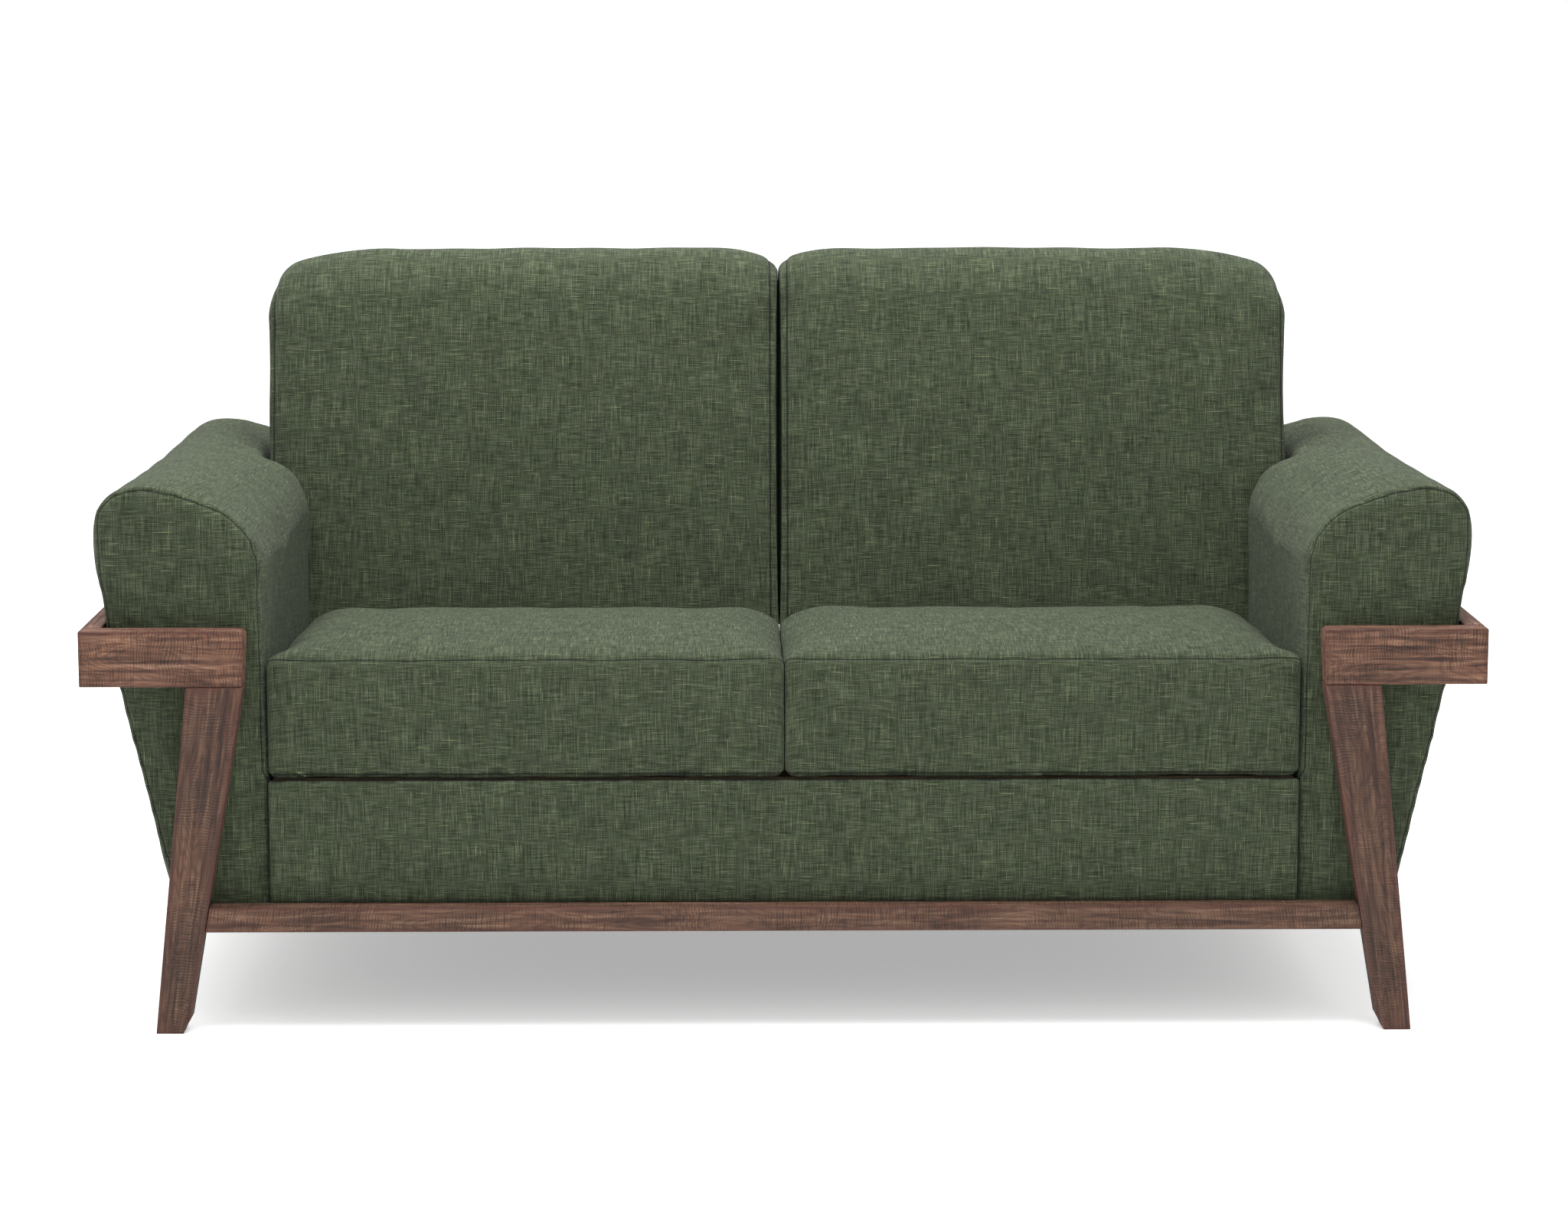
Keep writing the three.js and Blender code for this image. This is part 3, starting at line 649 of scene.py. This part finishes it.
# A tall box whose top is domed from front to rear by a rounded power curve, and whose top corners drop
# along quarter ellipses, the outer one after a long shoulder. The face bulges by a sine up and a fourth
# power across, and its foot drops into a lip.
def backSection(side, sign, material):
    low, high = boxOf("back_pad_" + side)
    inner, outer = sorted((abs(low[0]), abs(high[0])))
    top = (high[2] - back["pivot"][1]) / math.cos(back["lean"]) + 0.0008
    inset = back["inset"]
    boxLow = np.array([inner + inset, back["lowEdge"] + inset, back["faceOut"] - back["thick"] + inset])
    boxHigh = np.array([outer - inset, top - inset, back["faceOut"] - inset])
    points, quads = boxSkin([evenRows(boxLow[i], boxHigh[i], back["step"]) for i in range(3)])
    points = roundEdges(points, boxLow, boxHigh, back["edge"])
    x, up, out = points.T
    depth = (out - boxLow[2]) / (boxHigh[2] - boxLow[2])
    domed = np.clip((up - (boxHigh[1] - back["topRoundHeight"])) / back["topRoundHeight"], 0, 1)
    dome = back["topRound"] * (1 - np.sqrt(1 - 0.98 * np.abs(2 * depth - 1) ** 2.6)) * domed**2
    outerWide, outerDrop = back["outerCorner"]
    innerWide, innerDrop = back["innerCorner"]
    shoulderWide, shoulderDrop = back["shoulder"]
    outerIn = np.clip((x - (boxHigh[0] - outerWide)) / outerWide, 0, 1)
    innerIn = np.clip((boxLow[0] + innerWide - x) / innerWide, 0, 1)
    shoulder = np.clip((x - (boxHigh[0] - shoulderWide)) / shoulderWide, 0, 1)
    drop = outerDrop * (1 - np.sqrt(1 - 0.985 * outerIn**2)) + shoulderDrop * shoulder**1.9
    drop += innerDrop * (1 - np.sqrt(1 - 0.985 * innerIn**2))
    share = np.clip((up - (boxHigh[1] - back["cornerHeight"])) / back["cornerHeight"], 0, 1)
    up = up - dome * 0.8 - drop * share
    across = (x - boxLow[0]) / (boxHigh[0] - boxLow[0]) * 2 - 1
    tall = np.clip((up - boxLow[1]) / (boxHigh[1] - boxLow[1]), 0, 1)
    front = np.clip((depth - 0.9) / 0.1, 0, 1)
    out = out + front * back["bulge"] * ((1 - across**4) * np.sin(np.pi * tall) ** 0.7 - 1)
    lip = np.clip((out - back["lipStart"]) / (back["faceOut"] - back["lipStart"]), 0, 1)
    foot = np.clip(1 - (up - boxLow[1]) / back["lipHeight"], 0, 1)
    up = up - back["lipDrop"] * lip * foot
    points = backToWorld(x * sign, up, out)
    if sign < 0:
        quads = quads[:, ::-1]
    name = "back_section_" + side + "_cover"
    obj = makePiece(name, points, quads, material, "back_" + side)
    recalculate(obj)
    return obj


def recalculate(obj):
    bpy.context.view_layer.objects.active = obj
    obj.select_set(True)
    bpy.ops.object.mode_set(mode="EDIT")
    bpy.ops.mesh.select_all(action="SELECT")
    bpy.ops.mesh.normals_make_consistent(inside=False)
    bpy.ops.object.mode_set(mode="OBJECT")
    obj.select_set(False)


# Fills the swelled section out to its place, flattens it where it meets the other section and the arm,
# opens a thin gap between the faces by a sine up the height, and sews a seam up both sides of the face.
def finishBackSection(obj, side, sign):
    subdivide(obj)
    points = makeUneven(obj, pointsOf(obj), back["unevenSize"], back["uneven"], 21 + sign)
    x, up, out = worldToBack(points)
    rear = back["faceOut"] - back["thick"]
    top = (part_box("back_pad_" + side)[1][2] - back["pivot"][1]) / math.cos(back["lean"]) + 0.0035
    lowGoal = np.array([-0.0022, -0.019, rear - 0.001])
    highGoal = np.array([0.6512, top, back["faceOut"] + 0.003])
    x, up, out = fitBox(np.stack([x * sign, up, out], axis=1), lowGoal, highGoal).T
    push = 0.005 + 0.012 * np.clip(1 - up / 0.12, 0, 1)
    x = np.minimum(press(x, back["centre"], push), back["outerSide"])
    nearFace = np.clip((out - back["faceOut"] + 0.055) / 0.03, 0, 1)
    gap = back["centreGap"] * nearFace * np.sin(np.pi * np.clip(up / top, 0, 1)) ** 0.6
    x = np.where(x < 0.03, np.maximum(x, gap) + gap * np.exp(-x / 0.01) * 0.3, x)
    floor = 0.0165 - back["lipDrop"] * 1.02 * np.clip((out - 0.008) / 0.022, 0, 1)
    up, out = keepBehindSweep(np.maximum(up, floor), out)
    setPoints(obj, backToWorld(x * sign, up, out))
    away = nearest(x - back["innerSeam"], back["outerSeam"] - x)
    seam(obj, away, back["seamDepth"], back["seamSpread"])
    x, up, out = worldToBack(pointsOf(obj))
    around, gap = alongLine(np.stack([out, up], axis=1), np.array(back["profile"]))
    wrap = np.stack([x, around], axis=1)
    end = np.stack([out, up], axis=1)
    mapCloth(obj, wrap, end, (1, 0, 0), (0.11 * sign, 0.5))
    finishPad(obj, "back_" + side, back["fill"], "back_pad_" + side, "back_rear_panel_" + side)


# Below the hinge line, and in front of it, no point goes further from the hinge than the lip's reach, so
# the lip clears the seat as the section swings.
def keepBehindSweep(up, out):
    size = np.maximum(np.hypot(up, out), 1e-9)
    pull = np.where((up < 0) & (out > 0), np.minimum(1, back["lipReach"] / size), 1)
    return up * pull, out * pull


# arms: one outline carried front to rear, cut back beside the back section
arm = dict(
    width=0.195, peak=0.630, rearDrop=0.004, saddle=0.004,  # the top falls to the rear and dips halfway
    inset=0.003, voxel=0.0065, rows=(28, 52), step=0.01,  # the mesh before it swells
    notch=(0.0095, 0.008, 0.065),  # the cut's foot above the hinge, its gap to the back section, its width
    railZ=(0.400, 0.472), railX=0.7775,  # the band that lies against the wooden rail
    past=(0.0024, 0.0030, 0.0), hang=0.005, hangHeight=0.04,
    seamInset=0.0015, seamDepth=0.0014, seamSpread=0.0030,
    unevenSize=0.11, uneven=0.0010, fill=0.8,
)


def curve(start, first, second, end, count=14):
    t = np.linspace(0, 1, count)[:, None]
    a, b, c, d = (np.array(p) for p in (start, first, second, end))
    return a * (1 - t) ** 3 + 3 * b * t * (1 - t) ** 2 + 3 * c * t**2 * (1 - t) + d * t**3


# The arm's section as six cubic curves: up the inner face, over the lopsided round top, down the curved
# outside to the foot.
def armOutline(inner, base):
    peak = arm["peak"]

    def at(share, z):
        return inner + share * arm["width"], z

    return [
        curve(at(0, base), at(0, base + 0.12), at(0, peak - 0.22), at(0, peak - 0.109), 20),
        curve(at(0, peak - 0.109), at(0, peak - 0.064), at(0.08, peak - 0.036), at(0.31, peak - 0.019)),
        curve(at(0.31, peak - 0.019), at(0.44, peak - 0.009), at(0.57, peak), at(0.71, peak)),
        curve(at(0.71, peak), at(0.86, peak), at(1, peak - 0.013), at(1, peak - 0.050)),
        curve(at(1, peak - 0.050), at(1, peak - 0.094), at(0.95, 0.464), at(0.88, 0.404)),
        curve(at(0.88, 0.404), at(0.82, 0.344), at(0.67, base + 0.074), at(0.565, base), 20),
    ]


# Points at even shares of the length of a line.
def readLine(line, share):
    size = np.concatenate([[0], np.cumsum(np.linalg.norm(np.diff(line, axis=0), axis=1))])
    return np.stack([np.interp(share * size[-1], size, line[:, i]) for i in range(2)], axis=1)


# Fills the outline with a patch blended from its four sides, less its corners counted twice, and carries
# it along the depth. The top falls evenly to the rear and dips by a squared sine.
def armShape(side, sign, material):
    low, high = boxOf("arm_pad_" + side)
    inner = min(abs(low[0]), abs(high[0]))
    parts = armOutline(inner, low[2])
    upInner = parts[0]
    over = np.concatenate([parts[1], parts[2][1:], parts[3][1:]])
    upOuter = np.concatenate([parts[4], parts[5][1:]])[::-1]
    under = np.array([upInner[0], upOuter[0]])
    inset = arm["inset"]
    across, upward = arm["rows"]
    depths = evenRows(low[1] + inset, high[1] - inset, arm["step"])
    points, quads = boxSkin([np.linspace(0, 1, across), depths, np.linspace(0, 1, upward)])
    u, y, v = points.T
    patch = (1 - v)[:, None] * readLine(under, u) + v[:, None] * readLine(over, u)
    patch += (1 - u)[:, None] * readLine(upInner, v) + u[:, None] * readLine(upOuter, v)
    for cu, cv, spot in ((0, 0, upInner[0]), (1, 0, upOuter[0]), (0, 1, over[0]), (1, 1, over[-1])):
        weight = np.abs(1 - cu - u) * np.abs(1 - cv - v)
        patch -= weight[:, None] * spot
    middle = np.array([inner + 0.10, 0.40])
    patch = middle + (patch - middle) * (1 - inset / 0.11 * 0.8)
    rearward = (y - low[1]) / (high[1] - low[1])
    lift = np.clip((patch[:, 1] - 0.468) / 0.162, 0, 1)
    patch[:, 1] -= lift * (arm["rearDrop"] * rearward + arm["saddle"] * np.sin(np.pi * rearward) ** 2)
    points = np.stack([patch[:, 0] * sign, y, patch[:, 1]], axis=1)
    obj = makePiece("arm_" + side + "_cover", points, quads, material, "base")
    recalculate(obj)
    cutArm(obj, sign, inner)
    remesh = obj.modifiers.new("even", "REMESH")
    remesh.mode = "VOXEL"
    remesh.voxel_size = arm["voxel"]
    smooth = obj.modifiers.new("soft", "SMOOTH")
    smooth.factor = 0.5
    smooth.iterations = 4
    applyModifiers(obj)
    return obj


# Takes the corner beside the back section out of an arm: behind its face and above the low rear part.
def cutArm(obj, sign, inner):
    foot, gap, width = arm["notch"]
    face = back["faceOut"] + gap
    line = backToWorld(np.zeros(2), np.array([foot, 0.5]), np.array([face, face]))
    footY, footZ, topY, topZ = line[0, 1], line[0, 2], line[1, 1], line[1, 2]
    farY, lowZ = 0.6, 0.250  # well past the arm's rear and below its notch
    outline = [(footY, lowZ), (footY, footZ), (topY, topZ), (farY, topZ), (farY, lowZ)]
    corners = [(sign * x, y, z) for x in (inner - 0.05, inner + width) for y, z in outline]
    count = len(outline)
    faces = [tuple(range(count)), tuple(range(2 * count - 1, count - 1, -1))]
    faces += [(i, i + count, (i + 1) % count + count, (i + 1) % count) for i in range(count)]
    mesh = bpy.data.meshes.new("armCutter")
    mesh.from_pydata(corners, [], faces)
    cutter = bpy.data.objects.new("armCutter", mesh)
    bpy.context.scene.collection.objects.link(cutter)
    recalculate(cutter)
    cut = obj.modifiers.new("cut", "BOOLEAN")
    cut.object = cutter
    cut.operation = "DIFFERENCE"
    cut.solver = "EXACT"
    applyModifiers(obj)
    bpy.data.objects.remove(cutter)


# Fills the swelled arm out to its place, flattens it against the seat below z 0.45, the wooden rail and
# the sills, lets its foot hang behind the front sill, and sews a seam round its front and rear outlines.
def finishArm(obj, side, sign):
    subdivide(obj)
    low, high = boxOf("arm_pad_" + side)
    inner = min(abs(low[0]), abs(high[0]))
    past = np.array(arm["past"])
    points = makeUneven(obj, pointsOf(obj), arm["unevenSize"], arm["uneven"], 31 + sign)
    points = fitBox(points, low - past - [0, 0, 0.006], high + past)
    x, y, z = points[:, 0] * sign, points[:, 1], points[:, 2]
    x = np.maximum(press(x, inner, 0.004 * np.clip((0.450 - z) / 0.05, 0, 1), 0.012), inner)
    beside = (z > arm["railZ"][0]) & (z < arm["railZ"][1])
    x = np.where(beside, np.minimum(x, arm["railX"]), x)
    y = np.clip(y, low[1] + 0.0002, high[1] - 0.0002)
    z = np.where(z < low[2] + 0.03, press(z, low[2], 0.008, 0.012), z)
    inside = min(abs(corner[0]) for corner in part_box("side_sill_" + side)) - 0.003
    hang = np.clip((inside - x) / 0.006, 0, 1) * np.clip((-0.372 - y) / 0.008, 0, 1)
    z = z - arm["hang"] * hang * np.clip(1 - (z - low[2]) / arm["hangHeight"], 0, 1)
    setPoints(obj, np.stack([x * sign, y, z], axis=1))
    outline = np.concatenate(armOutline(inner, low[2]))
    around, gap = alongLine(np.stack([x, z], axis=1), outline)
    besideApron = np.clip((0.300 - z) / 0.02, 0, 1) * np.clip((inner + 0.02 - x) / 0.01, 0, 1)
    away = np.abs(y) - high[1] + gap - arm["seamInset"] + 0.02 * besideApron  # no seam beside the apron
    seam(obj, away, arm["seamDepth"], arm["seamSpread"])
    points = pointsOf(obj)
    wrap = np.stack([points[:, 1], around], axis=1)
    end = np.stack([points[:, 0], points[:, 2]], axis=1)
    mapCloth(obj, wrap, end, (0, 1, 0), (0.6 * sign, 0.9), -sign)
    finishPad(obj, "base", arm["fill"], "arm_pad_" + side)


# aprons under the seat, front and rear
apron = dict(
    step=0.0075, stepThrough=0.005, edge=0.005, armFace=0.5914,
    past=(0.0016, 0.002), unevenSize=0.14, uneven=0.0007, fill=0.5,
)


# A thin upholstered board with rounded edges.
def apronPad(name, material):
    low, high = boxOf(name)
    steps = (apron["step"], apron["stepThrough"], apron["step"])
    points, quads = boxSkin([evenRows(low[i], high[i], steps[i]) for i in range(3)])
    points = roundEdges(points, low, high, apron["edge"])
    return makePiece(name + "_cover", points, quads, material, "base")


# Fills the apron out to its place, and flattens it against the arms, the sill and the cushions' foot.
def finishApron(obj, name):
    subdivide(obj)
    low, high = boxOf(name)
    points = makeUneven(obj, pointsOf(obj), apron["unevenSize"], apron["uneven"], 41)
    points = fitBox(points, low - (0.0, 0.0, 0.005), high + (0.0, 0.0, 0.004))
    face = apron["armFace"]
    points[:, 0] = press(press(points[:, 0], face, 0.004, 0.01), -face, 0.004, 0.01)
    points[:, 2] = press(points[:, 2], low[2] - 0.0003, 0.005, 0.008)
    pastX, pastY = apron["past"]
    points = np.clip(points, low - (pastX, pastY, 0.0003), high + (pastX, pastY, 0.0))
    proud = 0.0015  # only the outer face may stand past its place
    points[:, 1] = np.clip(points[:, 1], low[1] - proud * (low[1] < 0), high[1] + proud * (low[1] > 0))
    setPoints(obj, points)
    # painted shade: a dark line near both ends of the apron, where it meets the arms
    seam(obj, high[0] + 0.0028 - np.abs(points[:, 0]), 0.0, 0.003)
    wrap = np.stack([points[:, 0], points[:, 2]], axis=1)
    end = np.stack([points[:, 1], points[:, 2]], axis=1)
    mapCloth(obj, wrap, end, (1, 0, 0), (0.05, 0.33))
    finishPad(obj, "base", apron["fill"], name)


# wooden pieces
wood = dict(
    edge=0.0014, step=0.012, edgeShadeReach=0.0034, grainShift=(0.9, 0.37, 0.53),
    shades={
        "leg": (0.43, 0.40, 0.34), "board": (0.84, 0.78, 0.68),
        "sill": (0.58, 0.58, 0.49), "rail": (1.2, 1.25, 1.3),
    },
)


# Cuts along one axis of a plank: close together at both rounded edges, even between them.
def plankRows(length):
    r = wood["edge"]
    middle = evenRows(4 * r, length - 4 * r, wood["step"])
    first = np.array([0, 0.35 * r, r, 2.2 * r])
    return np.concatenate([first, middle, length - first[::-1]])


# A sawn piece, made along, across and through as a box with rounded edges, then put in place by a function.
# The painted shade along its edges falls off with the distance from the nearest edge as a natural exponent.
def plank(node, size, place, offset):
    points, quads = boxSkin([plankRows(length) for length in size])
    size = np.array(size)
    points = roundEdges(points, np.zeros(3), size, wood["edge"])
    margin = np.sort(np.minimum(points, size - points), axis=1)[:, 1]
    obj = makePiece(node + "_wood", place(points), quads, sawnWoodFinish, "base")
    keepValues(obj, "grain", "FLOAT_VECTOR", "vector", points + np.array(wood["grainShift"]) * offset)
    # painted shade along the edges, strongest at the edge itself
    keepValues(obj, "edge", "FLOAT", "value", np.exp(-margin / wood["edgeShadeReach"]))
    # a fixed tone factor for each kind of piece: legs and sills darker, rails lighter
    tone = next(value for key, value in wood["shades"].items() if key in node)
    keepValues(obj, "shade", "FLOAT_COLOR", "color", np.tile([*tone, 1], len(points)))
    recalculate(obj)
    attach(obj, "base")
    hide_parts(node)
    return obj


# A plank whose face is a four-cornered outline in X and Z, blended between its corners, and which is as
# deep as its node.
def quadPlank(node, quad, offset):
    low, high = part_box(node)
    a, b, c, d = (np.array(p) for p in quad)
    length = (np.linalg.norm(b - a) + np.linalg.norm(c - d)) / 2
    width = (np.linalg.norm(d - a) + np.linalg.norm(c - b)) / 2

    def place(points):
        u, v = (points[:, 0] / length)[:, None], (points[:, 1] / width)[:, None]
        flat = (1 - u) * (1 - v) * a + u * (1 - v) * b + u * v * c + (1 - u) * v * d
        return np.stack([flat[:, 0], low[1] + points[:, 2], flat[:, 1]], axis=1)

    return plank(node, (length, width, high[1] - low[1]), place, offset)


leg = dict(topWidth={"front": 0.065, "rear": 0.050}, foot=0.037, chamfer=(0.006, 0.013), firstGrain=1)


# Legs that taper and splay as a four-cornered outline, with the inner corner of each foot cut off along
# a straight line.
def addLegs():
    count = leg["firstGrain"]
    for side, sign in sides.items():
        for end, topWidth in leg["topWidth"].items():
            node = end + "_leg_" + side
            low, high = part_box(node)
            footOuter = max(abs(low[0]), abs(high[0]))
            topInner = min(abs(low[0]), abs(high[0]))
            footInner = footOuter - leg["foot"]
            quad = [(sign * topInner, high[2]), (sign * footInner, 0),
                    (sign * footOuter, 0), (sign * (topInner + topWidth), high[2])]
            made = quadPlank(node, quad, count)
            points = pointsOf(made)
            x, z = points[:, 0] * sign, points[:, 2]
            wide, tall = leg["chamfer"]
            line = footInner + wide * (1 - z / tall)
            points[:, 0] = np.where(z < tall, np.maximum(x, line), x) * sign
            setPoints(made, points)
            count += 1


board = dict(slant=0.0035, corner=0.009, firstGrain=10)


# Boards across the arms, whose inner end leans by a slant and whose inner top corner is a quarter circle.
def addBoards():
    count = board["firstGrain"]
    r = board["corner"]
    for side, sign in sides.items():
        for end in ("front", "rear"):
            node = end + "_arm_board_" + side
            low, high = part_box(node)
            outer, inner = max(abs(low[0]), abs(high[0])), min(abs(low[0]), abs(high[0]))
            quad = [(sign * inner, low[2]), (sign * outer, low[2]),
                    (sign * outer, high[2]), (sign * inner, high[2])]
            made = quadPlank(node, quad, count)
            points = pointsOf(made)
            x, z = points[:, 0] * sign, points[:, 2]
            down = (high[2] - z) / (high[2] - low[2])
            x = x + board["slant"] * down * (1 - (x - inner) / (outer - inner))
            away = np.stack([inner + r - x, z - (high[2] - r)], axis=1)
            inCorner = (away > 0).all(axis=1)
            far = np.linalg.norm(np.maximum(away, 0), axis=1)
            pull = np.where(inCorner, np.minimum(1, r / np.maximum(far, 1e-9)), 1)
            x = np.where(inCorner, inner + r - away[:, 0] * pull, x)
            z = np.where(inCorner, high[2] - r + away[:, 1] * pull, z)
            points[:, 0], points[:, 2] = x * sign, z
            setPoints(made, points)
            count += 1


# A plain plank that fills its node's box, with its grain along Y.
def boxPlank(node, offset):
    low, high = boxOf(node)
    order = [1, 2, 0]

    def place(points):
        made = np.zeros_like(points)
        made[:, order] = points
        return made + low

    return plank(node, (high - low)[order], place, offset)


# Front and rear sills whose ends follow the slope of the legs, and the plain sills and rails of the sides.
def addSills():
    count = 20
    for end in ("front", "rear"):
        node = end + "_sill"
        low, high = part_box(node)
        legLow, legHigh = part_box(end + "_leg_left")
        topInner, footInner = -legHigh[0], -legLow[0] - leg["foot"]
        slope = (footInner - topInner) / legHigh[2]
        upper = high[0] - slope * (high[2] - low[2])
        quad = [(-high[0], low[2]), (high[0], low[2]), (upper, high[2]), (-upper, high[2])]
        quadPlank(node, quad, count)
        count += 1
    for side in sides:
        boxPlank("side_sill_" + side, count)
        boxPlank("side_arm_rail_" + side, count + 3)
        count += 1


# the thin cloth stapled under the seat box
dustCover = dict(step=0.03, thick=0.0012, sag=0.006, uneven=0.0006, unevenSize=0.12)


# A flat sheet with a shallow sag, the product of two sines, closed round its edge.
def addDustCover(material):
    low, high = boxOf("dust_cover")
    step = dustCover["step"]
    heights = np.array([high[2] - dustCover["thick"], high[2]])
    points, quads = boxSkin([evenRows(low[0], high[0], step), evenRows(low[1], high[1], step), heights])
    share = (points[:, :2] - low[:2]) / (high[:2] - low[:2])
    sag = np.sin(np.pi * share[:, 0]) * np.sin(np.pi * share[:, 1])
    uneven = dustCover["uneven"] * waves(points, dustCover["unevenSize"], 51)
    points[:, 2] -= dustCover["sag"] * sag + uneven
    obj = makePiece("dust_cover_cloth", points, quads, material, "base")
    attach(obj, "base")
    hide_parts("dust_cover")


# inner timber and hinges keep the frame's own shapes
def finishFrameNodes():
    for name, node in nodes.items():
        if name.startswith("hinge_"):
            finish = steelFinish
        elif not node.hide_render:
            finish = timberFinish
        else:
            continue
        node.data.materials.clear()
        node.data.materials.append(finish)


addCamera()
addStudio()
print("camera and studio ready")

linenFinish = linenMaterial()
sawnWoodFinish = sawnWoodMaterial()
timberFinish = plainTimberMaterial()
steelFinish = hingeSteelMaterial()
backingFinish = backingMaterial()

addLegs()
addBoards()
addSills()
addDustCover(backingFinish)
finishFrameNodes()
print("wood and steel ready")

jobs, seats, backs, arms = [], {}, {}, {}
for side, sign in sides.items():
    seats[side] = seatCushion(side, linenFinish)
    backs[side] = backSection(side, sign, linenFinish)
    arms[side] = armShape(side, sign, linenFinish)
    jobs += [(seats[side], 4.0, 0.005), (backs[side], 4.0, 0.005), (arms[side], 3.0, 0.0035)]
aprons = {name: apronPad(name, linenFinish) for name in ("apron_pad", "rear_apron_pad")}
swell(jobs)
for side, sign in sides.items():
    finishSeatCushion(seats[side], side, sign)
    finishBackSection(backs[side], side, sign)
    finishArm(arms[side], side, sign)
for name, obj in aprons.items():
    finishApron(obj, name)
print("padding ready")
